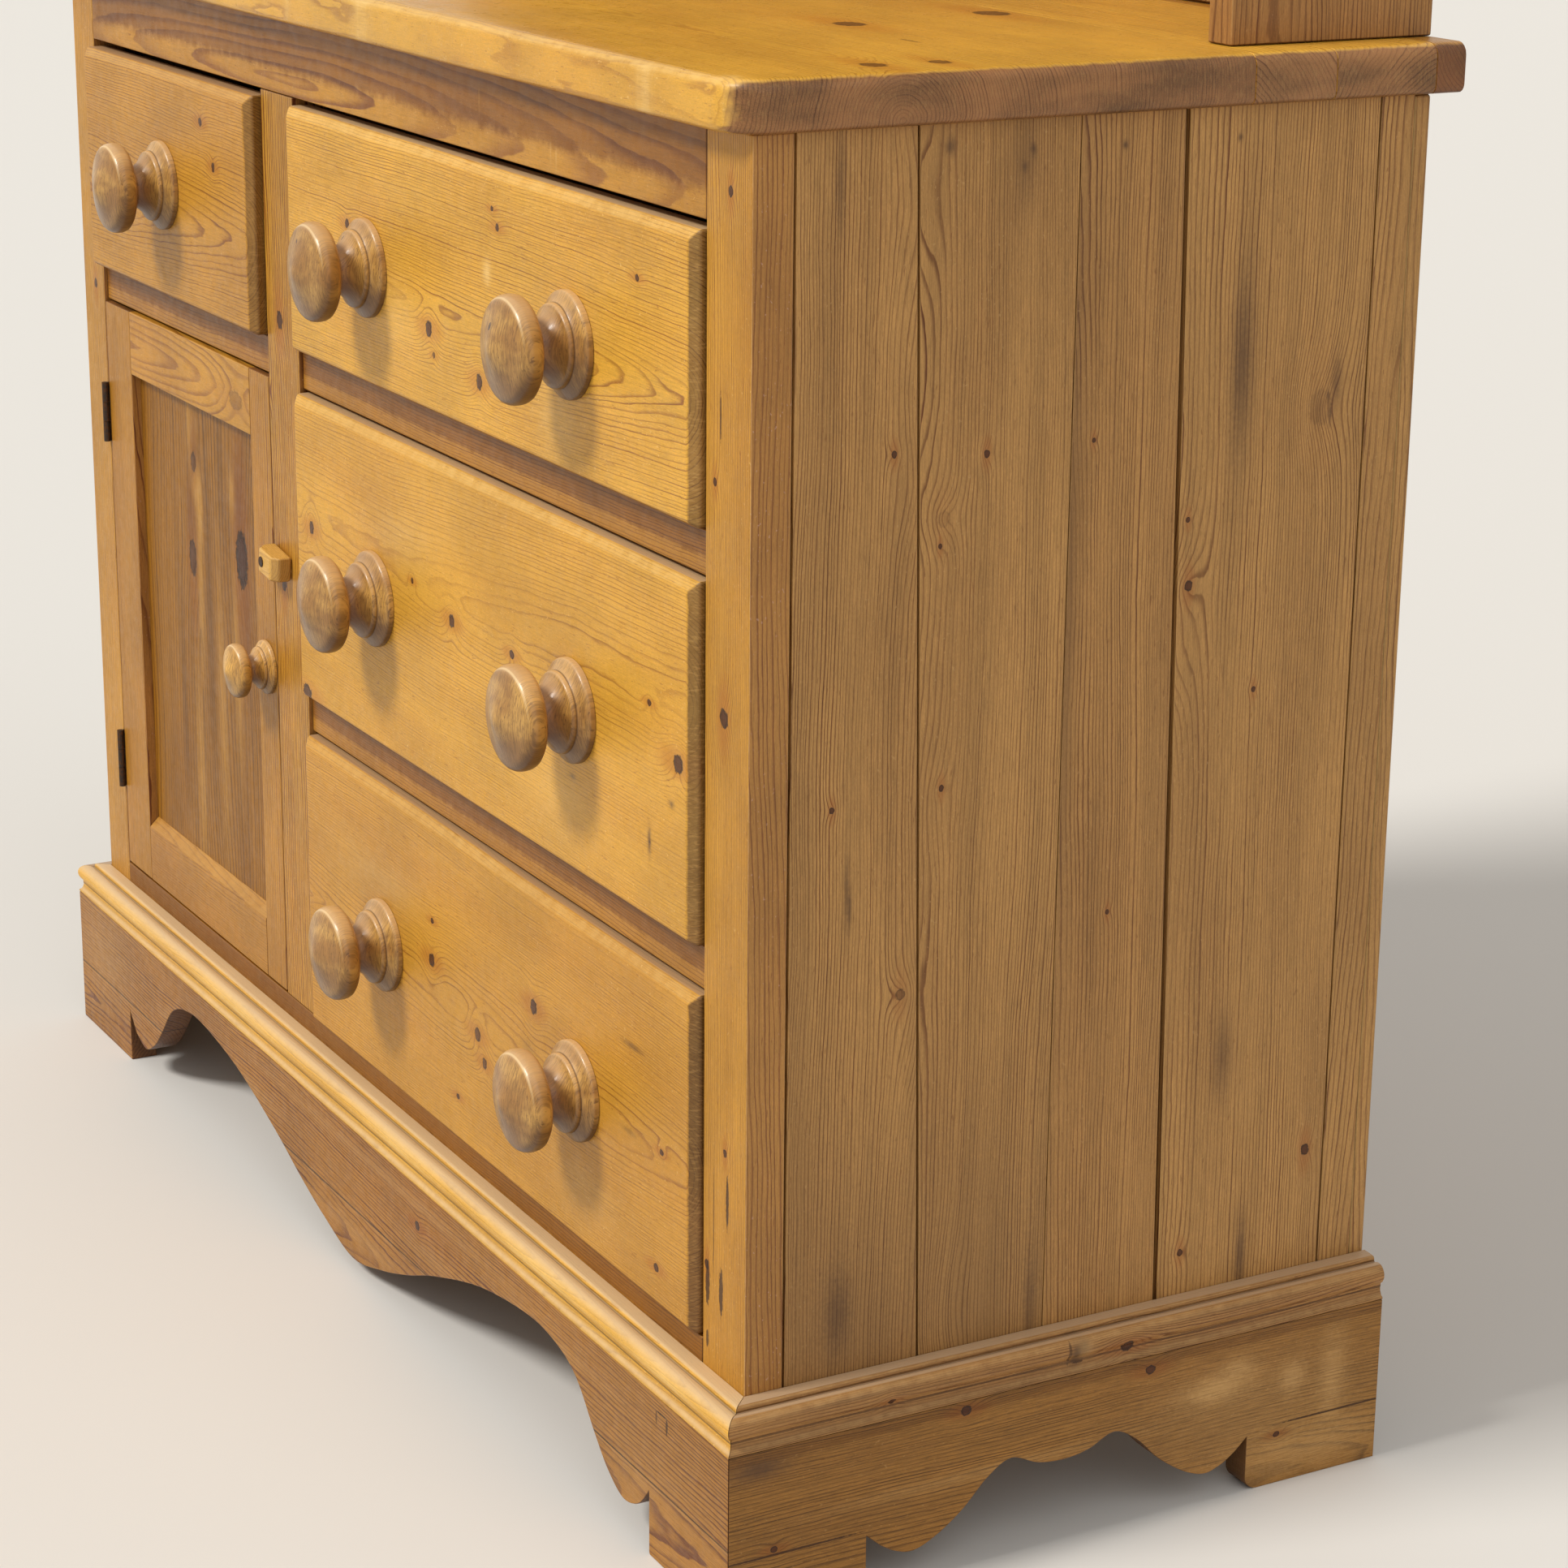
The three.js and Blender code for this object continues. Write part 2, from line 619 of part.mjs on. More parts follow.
function addDoor() {
  const door = new THREE.Group();
  door.position.set(hingeX, hingeY, 0);
  base.add(door);
  const left = hingeGap / 2;
  const right = leftBay.right - doorGap - hingeX;
  const face = -hingeY;
  const height = doorHigh - doorLow;
  const hingeStile = alongZ(outline(groovedSection(doorHingeStileWidth, true)), height);
  piece(door, 'door_hinge_stile', hingeStile, frontPine(), left, face, doorLow);
  const lockStile = alongZ(outline(groovedSection(doorLockStileWidth, false)), height);
  piece(door, 'door_lock_stile', lockStile, frontPine(), right - doorLockStileWidth, face, doorLow);
  const railLeft = left + doorHingeStileWidth + jointGap;
  const railLength = right - doorLockStileWidth - jointGap - railLeft;
  const fromSide = (points) => outline(points.map(([up, back]) => [back, up]));
  const bottomRail = alongX(fromSide(groovedSection(doorBottomRailHeight, true)), railLength);
  piece(door, 'door_bottom_rail', bottomRail, frontPine(), railLeft, face, doorLow);
  const topRail = alongX(fromSide(groovedSection(doorTopRailHeight, false)), railLength);
  piece(door, 'door_top_rail', topRail, frontPine(), railLeft, face, doorHigh - doorTopRailHeight);
  const panelFace = face + panelSetback;
  const panelFoot = doorLow + doorBottomRailHeight - panelTongue;
  const panelTop = doorHigh - doorTopRailHeight + panelTongue;
  const panelLow = [railLeft - panelTongue, panelFace, panelFoot];
  const panelHigh = [railLeft + railLength + panelTongue, panelFace + panelThickness, panelTop];
  board(door, 'door_panel', frontPine(), panelLow, panelHigh);
  const knob = knobGeometry(doorKnobDiameter, doorKnobLength);
  const knobX = right - doorLockStileWidth / 2;
  piece(door, 'door_knob', knob, knobPine(), knobX, face - jointGap, bottomRailTop + doorKnobHeight);
}

// One hinge: the frame leaf has the outer knuckles and the pin, the door leaf the middle knuckle
function knuckle(radius, low, high) {
  const barrel = new THREE.CylinderGeometry(radius, radius, high - low, knuckleSides);
  return toSolid(barrel.rotateX(Math.PI / 2).translate(0, 0, (low + high) / 2));
}

function hingeLeaf(direction, spans) {
  const outer = hingeGap / 2 - leafClearance;
  const inner = outer - hingeLeafThickness;
  const near = Math.min(direction * inner, direction * outer);
  const far = Math.max(direction * inner, direction * outer);
  const face = knuckleRadius + knuckleClearance;
  let leaf = toSolid(boxGeometry([near, face, 0], [far, face + hingeLeafWidth, hingeHeight]));
  for (const [low, high] of spans) {
    const root = boxGeometry([near, knuckleRadius * leafRootShare, low], [far, face + jointGap, high]);
    leaf = leaf.add(toSolid(root)).add(knuckle(knuckleRadius, low, high));
  }
  return leaf;
}

function addHinge(name, level) {
  const third = hingeHeight / 3;
  const outerSpans = [[0, third], [2 * third, hingeHeight]];
  const middleSpan = [[third + knuckleClearance, 2 * third - knuckleClearance]];
  const frameLeaf = hingeLeaf(-1, outerSpans).add(knuckle(pinRadius, 0, hingeHeight));
  const bore = knuckle(pinRadius + knuckleClearance, 0, hingeHeight);
  const doorLeaf = hingeLeaf(1, middleSpan).subtract(bore);
  const bottom = level - hingeHeight / 2;
  piece(base, `${name}_frame_leaf`, toGeometry(frameLeaf), iron(), hingeX, hingeY, bottom);
  piece(base, `${name}_door_leaf`, toGeometry(doorLeaf), iron(), hingeX, hingeY, bottom);
}

// The turn button: a small block, bevelled at its front ends, that turns about a screw in the muntin
function addTurnButton() {
  const plan = outline([
    [-buttonShortEnd, 0], [-buttonShortEnd, -buttonThickness + buttonBevel],
    [-buttonShortEnd + buttonBevel, -buttonThickness], [buttonLongEnd - buttonBevel, -buttonThickness],
    [buttonLongEnd, -buttonThickness + buttonBevel], [buttonLongEnd, 0],
  ]);
  const block = alongZ(plan, buttonHeight).translate(0, 0, -buttonHeight / 2);
  const level = bottomRailTop + buttonPivotRise;
  const pivot = leftBay.right + buttonPivotInset;
  const button = piece(base, 'turn_button', block, frontPine(), pivot, -jointGap, level);
  button.rotation.y = THREE.MathUtils.degToRad(buttonTiltDegrees);
}

// The plate rack: two sides, two grooved shelves, a frieze, a cornice and a planked back
function addRackShelf(rack, name, rise) {
  const front = rackFront + rackShelfSetback;
  const back = rackBackFace - jointGap;
  const groove = back - plateGrooveInset;
  const section = outline([
    [front, 0], [back, 0], [back, rackShelfThickness], [groove + plateGrooveWidth, rackShelfThickness],
    [groove + plateGrooveWidth, rackShelfThickness - plateGrooveDepth],
    [groove, rackShelfThickness - plateGrooveDepth], [groove, rackShelfThickness],
    [front, rackShelfThickness],
  ]);
  const length = 2 * (rackInner - jointGap);
  piece(rack, name, alongX(section, length), frontPine(), jointGap - rackInner, 0, rise);
}

function addRackBack(rack) {
  const half = rackInner - jointGap;
  const pitch = (2 * half) / rackPlankCount;
  const points = [[half, 0], [half, rackBackThickness], [-half, rackBackThickness], [-half, 0]];
  for (let index = 1; index < rackPlankCount; index += 1) {
    const x = -half + index * pitch;
    points.push([x - plankGrooveWidth / 2, 0], [x, plankGrooveDepth], [x + plankGrooveWidth / 2, 0]);
  }
  const height = corniceUnderside - jointGap - (topSurface + jointGap);
  piece(rack, 'rack_back', alongZ(outline(points), height), sidePine(), 0, rackBackFace, jointGap);
}

function addFrieze(rack) {
  const half = rackInner - jointGap;
  const shape = new THREE.Shape();
  shape.moveTo(-half, friezeHeight);
  shape.lineTo(-half, 0);
  shape.splineThru([
    ...scrollPoints(-half, half, friezeScrollShares, friezeHeight),
    new THREE.Vector2(half, 0),
  ]);
  shape.lineTo(half, friezeHeight);
  const level = corniceUnderside - jointGap - friezeHeight - topSurface;
  piece(rack, 'rack_frieze', alongY(shape, friezeThickness), frontPine(), 0, rackFront, level);
}

function addCornice(rack) {
  const back = topBack;
  const across = corniceShares.map(([out, up]) => [rackOuter + out * corniceProjection, up * corniceHeight]);
  const mirrored = across.map(([x, z]) => [-x, z]).reverse();
  const depth = corniceShares.map(([out, up]) => [rackFront - out * corniceProjection, up * corniceHeight]);
  const section = outline([...depth, [back, corniceHeight], [back, 0]]);
  const reach = rackOuter + corniceProjection;
  const fromSide = toSolid(alongX(section, 2 * reach).translate(-reach, 0, 0));
  const length = back - rackFront + corniceProjection;
  const fromFront = toSolid(alongY(outline([...across, ...mirrored]), length).translate(0, back - length, 0));
  const solid = fromSide.intersect(fromFront);
  piece(rack, 'rack_cornice', toGeometry(solid), frontPine(), 0, 0, corniceUnderside - topSurface);
}

function addRack() {
  const rack = new THREE.Group();
  rack.position.z = topSurface;
  dresser.add(rack);
  const sideTop = corniceUnderside - jointGap - topSurface;
  for (const [name, left, right] of [
    ['rack_side_left', -rackOuter, -rackInner], ['rack_side_right', rackInner, rackOuter],
  ]) {
    board(rack, name, sidePine(), [left, rackFront, jointGap], [right, topBack, sideTop]);
  }
  addRackShelf(rack, 'rack_shelf_lower', rackLowerShelfRise);
  addRackShelf(rack, 'rack_shelf_upper', rackUpperShelfRise);
  addRackBack(rack);
  addFrieze(rack);
  addCornice(rack);
}

addFrontFrame();
addSide('side_left', -1);
addSide('side_right', 1);
addInside();
addTop();
addPlinth();
addMoulding();
addDrawers();
addDoor();
addHinge('upper_hinge', doorHigh - hingeInset);
addHinge('lower_hinge', doorLow + hingeInset);
addTurnButton();
addRack();

// The foremost point is the cap of the small drawer's knob
const foremost = smallDrawerProud + jointGap + drawerKnobLength;
dresser.position.y = (foremost - topBack) / 2;

export default dresser;
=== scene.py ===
# %% [markdown]
# # A welsh dresser in waxed pine
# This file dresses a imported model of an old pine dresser. The model brings every board, knob and hinge at its
# real place, in metres, with the floor at Z = 0 and the front facing -Y. Here each of them gets the shape and
# the finish that the eye expects: softened arrises, turned knobs, planks with open joints, and pine whose growth
# rings run round its knots.

import math

import bpy
from mathutils import Matrix, Vector


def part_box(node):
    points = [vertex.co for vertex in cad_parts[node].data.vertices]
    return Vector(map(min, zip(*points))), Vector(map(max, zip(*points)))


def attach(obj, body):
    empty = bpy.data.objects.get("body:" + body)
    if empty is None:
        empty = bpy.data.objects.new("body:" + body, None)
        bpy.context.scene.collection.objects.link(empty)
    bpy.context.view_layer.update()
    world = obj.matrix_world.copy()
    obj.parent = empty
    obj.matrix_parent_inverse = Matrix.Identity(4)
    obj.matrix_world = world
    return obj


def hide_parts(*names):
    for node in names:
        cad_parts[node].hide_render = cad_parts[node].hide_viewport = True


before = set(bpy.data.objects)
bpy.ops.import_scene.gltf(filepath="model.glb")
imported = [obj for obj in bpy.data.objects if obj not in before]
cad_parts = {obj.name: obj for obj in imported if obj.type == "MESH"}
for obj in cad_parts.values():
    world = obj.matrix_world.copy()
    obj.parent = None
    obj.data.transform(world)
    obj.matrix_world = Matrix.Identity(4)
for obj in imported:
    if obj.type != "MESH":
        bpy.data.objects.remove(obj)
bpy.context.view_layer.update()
MM = 0.001

# %% [markdown]
# ## The camera
# The photographer stood to the right of the dresser, a little above its top, and looked down with a long lens.
# A camera in Blender looks along its own -Z, so its matrix is built from three directions: right, up and back.
# The focal length was measured in the photograph's pixels, and the lens is that length on a sensor 36 mm wide.

# %% Set up the camera
PHOTO_WIDTH = 1932
FOCAL_PIXELS = 4654
SENSOR = 36.0
CAMERA_PLACE = Vector((2.2144, -1.1023, 1.0775))
YAW = math.radians(61.033)
PITCH = math.radians(-17.108)
ROLL = math.radians(0.566)

forward = Vector((-math.sin(YAW) * math.cos(PITCH), math.cos(YAW) * math.cos(PITCH), math.sin(PITCH)))
level = Vector((math.cos(YAW), math.sin(YAW), 0))
upright = level.cross(forward)
right = math.cos(ROLL) * level + math.sin(ROLL) * upright
up = math.cos(ROLL) * upright - math.sin(ROLL) * level

bpy.ops.object.select_all(action="DESELECT")
bpy.ops.object.camera_add()
camera = bpy.context.object
turn = Matrix((right, up, -forward)).transposed().to_4x4()
camera.matrix_world = Matrix.Translation(CAMERA_PLACE) @ turn
camera.data.sensor_width = SENSOR
camera.data.lens = FOCAL_PIXELS / PHOTO_WIDTH * SENSOR
camera.data.clip_start = 0.05
bpy.context.scene.camera = camera
bpy.context.scene.view_settings.view_transform = "Standard"
print("lens", round(camera.data.lens, 1), "mm")

# %% [markdown]
# ## The nodes of a material
# A material here is a small program. A few helpers keep it readable: the first adds a node and fills its inputs,
# with a link where the value comes from another node, and the rest add sums, ramps and mixtures of colours.
# Colours are written as they look on a screen, from 0 to 255, and turned into the linear values of a shader.

# %% Helpers for node trees
def add(tree, kind, inputs=None, **settings):
    node = tree.nodes.new(kind)
    for key, value in settings.items():
        setattr(node, key, value)
    for place, value in (inputs or {}).items():
        if isinstance(value, bpy.types.NodeSocket):
            tree.links.new(value, node.inputs[place])
        else:
            node.inputs[place].default_value = value
    return node


def sum_of(tree, operation, *values):
    return add(tree, "ShaderNodeMath", dict(enumerate(values)), operation=operation).outputs[0]


def plus(tree, first, second):
    return sum_of(tree, "ADD", first, second)


def minus(tree, first, second):
    return sum_of(tree, "SUBTRACT", first, second)


def times(tree, first, second):
    return sum_of(tree, "MULTIPLY", first, second)


def squares_of(tree, first, second):
    return plus(tree, times(tree, first, first), times(tree, second, second))


def ramp(tree, value, low, high, start=0.0, end=1.0, kind="SMOOTHSTEP"):
    inputs = {0: value, 1: low, 2: high, 3: start, 4: end}
    return add(tree, "ShaderNodeMapRange", inputs, interpolation_type=kind).outputs[0]


def band(tree, value, low, full, fading, high):
    """Rises from 0 to 1 between low and full, and falls back between fading and high."""
    return times(tree, ramp(tree, value, low, full), ramp(tree, value, fading, high, 1.0, 0.0))


def blend(tree, amount, first, second, mode="MIX"):
    node = add(tree, "ShaderNodeMix", {0: amount, 6: first, 7: second}, data_type="RGBA", blend_type=mode)
    return node.outputs[2]


def tint(tree, colour, factor):
    return blend(tree, 1.0, colour, factor, "MULTIPLY")


def paint(red, green, blue):
    def linear(value):
        share = value / 255
        return share / 12.92 if share <= 0.04045 else ((share + 0.055) / 1.055) ** 2.4
    return (linear(red), linear(green), linear(blue), 1.0)


print("honey pine in linear light:", [round(value, 3) for value in paint(217, 163, 86)[:3]])

# %% Start and close a material
def start_material(name):
    """Makes a material with an empty node tree."""
    material = bpy.data.materials.new(name)
    material.use_nodes = True
    material.node_tree.nodes.clear()
    return material, material.node_tree


def from_middle(tree, place, box):
    """Turns a place into millimetres from the middle of a box."""
    middle = [(low + high) / 2 for low, high in zip(*box)]
    local = add(tree, "ShaderNodeVectorMath", {0: place, 1: middle}, operation="SUBTRACT").outputs[0]
    return add(tree, "ShaderNodeVectorMath", {0: local, "Scale": 1 / MM}, operation="SCALE").outputs[0]


def close_material(tree, colour, roughness, relief, settings):
    """Ends a tree with its shader. Relief is a height, with the strength and the distance of the bump."""
    height, strength, distance = relief
    bump = add(tree, "ShaderNodeBump", {"Height": height, "Strength": strength, "Distance": distance}).outputs[0]
    inputs = {"Base Color": colour, "Roughness": roughness, "Normal": bump, **settings}
    add(tree, "ShaderNodeOutputMaterial", {0: add(tree, "ShaderNodeBsdfPrincipled", inputs).outputs[0]})


print("one millimetre is", MM, "of the scene's metres")

# %% [markdown]
# ## How pine is drawn
# A board is a slice of a trunk. Each year's growth is a ring round the pith, pale in spring and dark in late
# summer, so the figure on a board is a cut through a nest of rings. That is why this finish isn't painted on as
# stripes: it measures how far each point lies from a pith that runs beside the board, and lets the year's colour
# follow that distance. Faces show long flames, edges show straight lines and ends show arcs, and they all meet.
#
# The group works in board millimetres: X along the grain, Y across the board and Z through its thickness. The
# pith wanders a little, and each knot lifts the rings about it, so that they part and close again round it.

# %% The growth rings of pine
FIBRE_LENGTH = 18.0
FIBRE_WIDTH = 0.6


def stretched_noise(tree, point, lengths, seed, detail=2.0, roughness=0.5):
    scaled = add(tree, "ShaderNodeVectorMath", {0: point, 1: [1 / length for length in lengths]}, operation="MULTIPLY")
    inputs = {"Vector": scaled.outputs[0], "W": seed, "Scale": 1.0, "Detail": detail, "Roughness": roughness}
    return add(tree, "ShaderNodeTexNoise", inputs, noise_dimensions="4D").outputs[0]


def make_ring_group():
    tree = bpy.data.node_groups.new("pine rings", "ShaderNodeTree")
    for name in ("Board", "Pith across", "Pith deep", "Slant", "Ring", "Wander", "Seed", "Lift", "Sharpness"):
        kind = "NodeSocketVector" if name == "Board" else "NodeSocketFloat"
        tree.interface.new_socket(name, in_out="INPUT", socket_type=kind)
    for name in ("Late", "Fibre", "Patch", "Fleck"):
        tree.interface.new_socket(name, in_out="OUTPUT", socket_type="NodeSocketFloat")
    given = add(tree, "NodeGroupInput").outputs
    point, seed, ring = given["Board"], given["Seed"], given["Ring"]
    parts = add(tree, "ShaderNodeSeparateXYZ", {0: point}).outputs
    drift = stretched_noise(tree, point, (460, 110, 110), seed, detail=1)
    ripple = stretched_noise(tree, point, (120, 26, 26), plus(tree, seed, 7.3), detail=1)
    shiver = stretched_noise(tree, point, (26, 6, 6), plus(tree, seed, 2.9), detail=2)
    drift = times(tree, minus(tree, drift, 0.5), given["Wander"])
    small_ring = sum_of(tree, "MINIMUM", ring, 2.4)
    ripple = times(tree, minus(tree, ripple, 0.5), times(tree, small_ring, 2.3))
    shiver = times(tree, minus(tree, shiver, 0.5), times(tree, small_ring, 0.7))
    ripple = plus(tree, ripple, shiver)
    lean = times(tree, parts[0], given["Slant"])
    across = minus(tree, parts[1], given["Pith across"])
    deep = minus(tree, plus(tree, parts[2], lean), given["Pith deep"])
    radius = sum_of(tree, "SQRT", squares_of(tree, across, deep))
    radius = plus(tree, radius, plus(tree, drift, ripple))
    radius = plus(tree, radius, given["Lift"])
    years = sum_of(tree, "DIVIDE", radius, ring)
    # Good and bad summers make wide and narrow rings
    weather = add(tree, "ShaderNodeTexNoise", {"W": times(tree, years, 0.21), "Scale": 1.0},
                  noise_dimensions="1D").outputs[0]
    years = plus(tree, years, times(tree, weather, 2.0))
    year = sum_of(tree, "FLOOR", years)
    season = minus(tree, years, year)
    vigour = add(tree, "ShaderNodeTexWhiteNoise", {"W": plus(tree, year, seed)}, noise_dimensions="1D")
    vigour = ramp(tree, vigour.outputs[0], 0, 1, 0.5, 1.0, "LINEAR")
    summer = ramp(tree, season, 0.42, 0.9)
    summer = sum_of(tree, "POWER", summer, given["Sharpness"])
    winter = ramp(tree, season, 0.93, 1.0, 1.0, 0.0)
    fade = stretched_noise(tree, point, (150, 24, 24), plus(tree, seed, 4.4), detail=2)
    fade = ramp(tree, fade, 0.33, 0.6, 0.5, 1.0)
    late = times(tree, times(tree, summer, winter), times(tree, vigour, fade))
    fibre = stretched_noise(tree, point, (FIBRE_LENGTH, FIBRE_WIDTH, FIBRE_WIDTH), seed, detail=4, roughness=0.7)
    patch = stretched_noise(tree, point, (210, 55, 55), plus(tree, seed, 3.1), detail=3)
    fleck = stretched_noise(tree, point, (6.0, 0.8, 0.8), plus(tree, seed, 5.7), detail=1)
    fleck = ramp(tree, fleck, 0.66, 0.74)
    add(tree, "NodeGroupOutput", {"Late": late, "Fibre": fibre, "Patch": patch, "Fleck": fleck})
    return tree


ring_group = make_ring_group()
print("the ring group has", len(ring_group.nodes), "nodes")

# %% [markdown]
# ## Knots and stains
# A knot is the foot of a branch. The trunk's rings bend round it, its own rings are small and dark, and bark
# often leaves a black rim. A stain or a bruise is only a soft mark on the surface, and a crack is a long thin mark
# with a hard edge. All of them are given one by one, in board millimetres, so one group measures how near a point
# is to a mark, on an ellipse that lies along the grain.

# %% Marks on a board
def make_mark_group():
    tree = bpy.data.node_groups.new("mark on a board", "ShaderNodeTree")
    for name, kind in (("Board", "Vector"), ("Place", "Vector"), ("Length", "Float"), ("Width", "Float")):
        tree.interface.new_socket(name, in_out="INPUT", socket_type="NodeSocket" + kind)
    for name in ("Near", "Soft", "Core", "Rim", "Halo"):
        tree.interface.new_socket(name, in_out="OUTPUT", socket_type="NodeSocketFloat")
    given = add(tree, "NodeGroupInput").outputs
    wobble = add(tree, "ShaderNodeTexNoise", {"Vector": given["Board"], "Scale": 0.35, "Detail": 2.0})
    wobble = times(tree, minus(tree, wobble.outputs[0], 0.5), 0.8)
    offset = add(tree, "ShaderNodeVectorMath", {0: given["Board"], 1: given["Place"]}, operation="SUBTRACT")
    parts = add(tree, "ShaderNodeSeparateXYZ", {0: offset.outputs[0]}).outputs
    along = sum_of(tree, "DIVIDE", parts[0], given["Length"])
    across = sum_of(tree, "DIVIDE", parts[1], given["Width"])
    squares = squares_of(tree, along, across)
    distance = sum_of(tree, "SQRT", squares)
    ragged = plus(tree, distance, wobble)
    near = sum_of(tree, "EXPONENT", times(tree, squares, -0.1))
    soft = sum_of(tree, "EXPONENT", times(tree, times(tree, ragged, ragged), -1.0))
    core = ramp(tree, ragged, 0.75, 1.0, 1.0, 0.0)
    rim = band(tree, ragged, 0.6, 0.9, 0.92, 1.1)
    tail = plus(tree, times(tree, times(tree, along, along), 0.14), times(tree, across, across))
    halo = ramp(tree, plus(tree, sum_of(tree, "SQRT", tail), wobble), 0.6, 2.4, 1.0, 0.0)
    add(tree, "NodeGroupOutput", {"Near": near, "Soft": soft, "Core": core, "Rim": rim, "Halo": halo})
    return tree


mark_group = make_mark_group()


def mark(tree, point, place, length, width):
    flat = add(tree, "ShaderNodeVectorMath", {0: point, 1: (1, 1, 0)}, operation="MULTIPLY").outputs[0]
    inputs = {"Board": flat, "Place": (place[0], place[1], 0), "Length": length, "Width": width}
    return add(tree, "ShaderNodeGroup", inputs, node_tree=mark_group).outputs


print("the mark group has", len(mark_group.nodes), "nodes")

# %% [markdown]
# ## The finish of a board
# The boards were stripped and waxed. The wax has turned the front a deep honey, while the side, which nobody
# polished, is browner and greyer. Arrises have worn pale, and ends drink wax and dirt and go dark. A face is told
# from an arris or an end by its normal: on a square board the normal lies along one axis, and on a worn corner it
# doesn't. Each board has its own pith, seed, knots and stains, so no two of them match.
# Some of the colour is painted light: painted shade darkens faces that turn down, whole boards that get less light and
# the sides of upright front boards, and painted shadows lie along the edges of boards under a drawer or an overhang.

# %% The waxed pine finish
AXES = {"x": 0, "y": 1, "z": 2}
TONES = {
    "front": {"pale": paint(236, 180, 66), "dark": paint(140, 74, 24), "deep": paint(206, 142, 44),
              "worn": paint(246, 208, 130), "end": paint(142, 99, 60), "flank_tone_and_shade": (0.8, 0.79, 1.7, 1.0),
              "bloom": (90, 60, 60), "coat": 0.1, "lines": 1.0, "sharp": 3.6, "fibre": 0.26, "nicks": 0.55},
    "side": {"pale": paint(193, 145, 84), "dark": paint(106, 58, 26), "deep": paint(150, 106, 58),
             "worn": paint(210, 172, 114), "end": paint(112, 78, 46), "flank_tone_and_shade": (1.0, 1.0, 1.0, 1.0),
             "bloom": (240, 13, 13), "coat": 0.0, "lines": 1.1, "sharp": 1.9, "fibre": 0.36, "nicks": 0.25},
    "foot": {"pale": paint(166, 116, 52), "dark": paint(76, 44, 14), "deep": paint(128, 84, 36),
             "worn": paint(196, 154, 96), "end": paint(104, 68, 36), "flank_tone_and_shade": (1.0, 1.0, 1.0, 1.0),
             "bloom": (240, 30, 13), "coat": 0.0, "lines": 0.85, "sharp": 1.6, "fibre": 0.4, "nicks": 0.25},
    "panel": {"pale": paint(206, 152, 46), "dark": paint(94, 58, 18), "deep": paint(140, 90, 34),
              "worn": paint(252, 206, 104), "end": paint(112, 76, 46), "flank_tone_and_shade": (0.8, 0.79, 1.7, 1.0),
              "bloom": (240, 12, 12), "coat": 0.0, "lines": 0.8, "sharp": 1.0, "fibre": 0.4, "nicks": 0.25},
    "inside": {"pale": paint(214, 176, 118), "dark": paint(170, 124, 70), "deep": paint(190, 148, 94),
               "worn": paint(222, 190, 142), "end": paint(150, 112, 68), "flank_tone_and_shade": (1.0, 1.0, 1.0, 1.0),
               "bloom": (240, 20, 20), "coat": 0.0, "lines": 0.8, "sharp": 1.8, "fibre": 0.34, "nicks": 0.25},
}
KNOT = paint(70, 34, 14)
KNOT_RIM = paint(32, 20, 14)
CRACK = paint(52, 26, 10)
STAIN = paint(84, 58, 38)
DUST = paint(208, 182, 148)
# Painted shade: the tint for faces that turn down and for the shadows along the edges of boards
PAINTED_SHADE = (0.46, 0.34, 0.17, 1.0)
# Painted shade turns redder as it darkens: a board's shade darkens red, green and blue by these powers
SHADE_POWERS = (2.2, 3.0, 3.4)
# How strong a knot is and how much longer than wide, where a board doesn't say
KNOT_HABIT = [1.0, 1.2]
# How squarely a face must look along the grain to be an end, and how much of its torn fibre shows
PLAIN_END = (0.6, 0.15)
CHAMFERED_END = (0.42, 0.3)


def grey(tree, value):
    return add(tree, "ShaderNodeCombineColor", {0: value, 1: value, 2: value}).outputs[0]


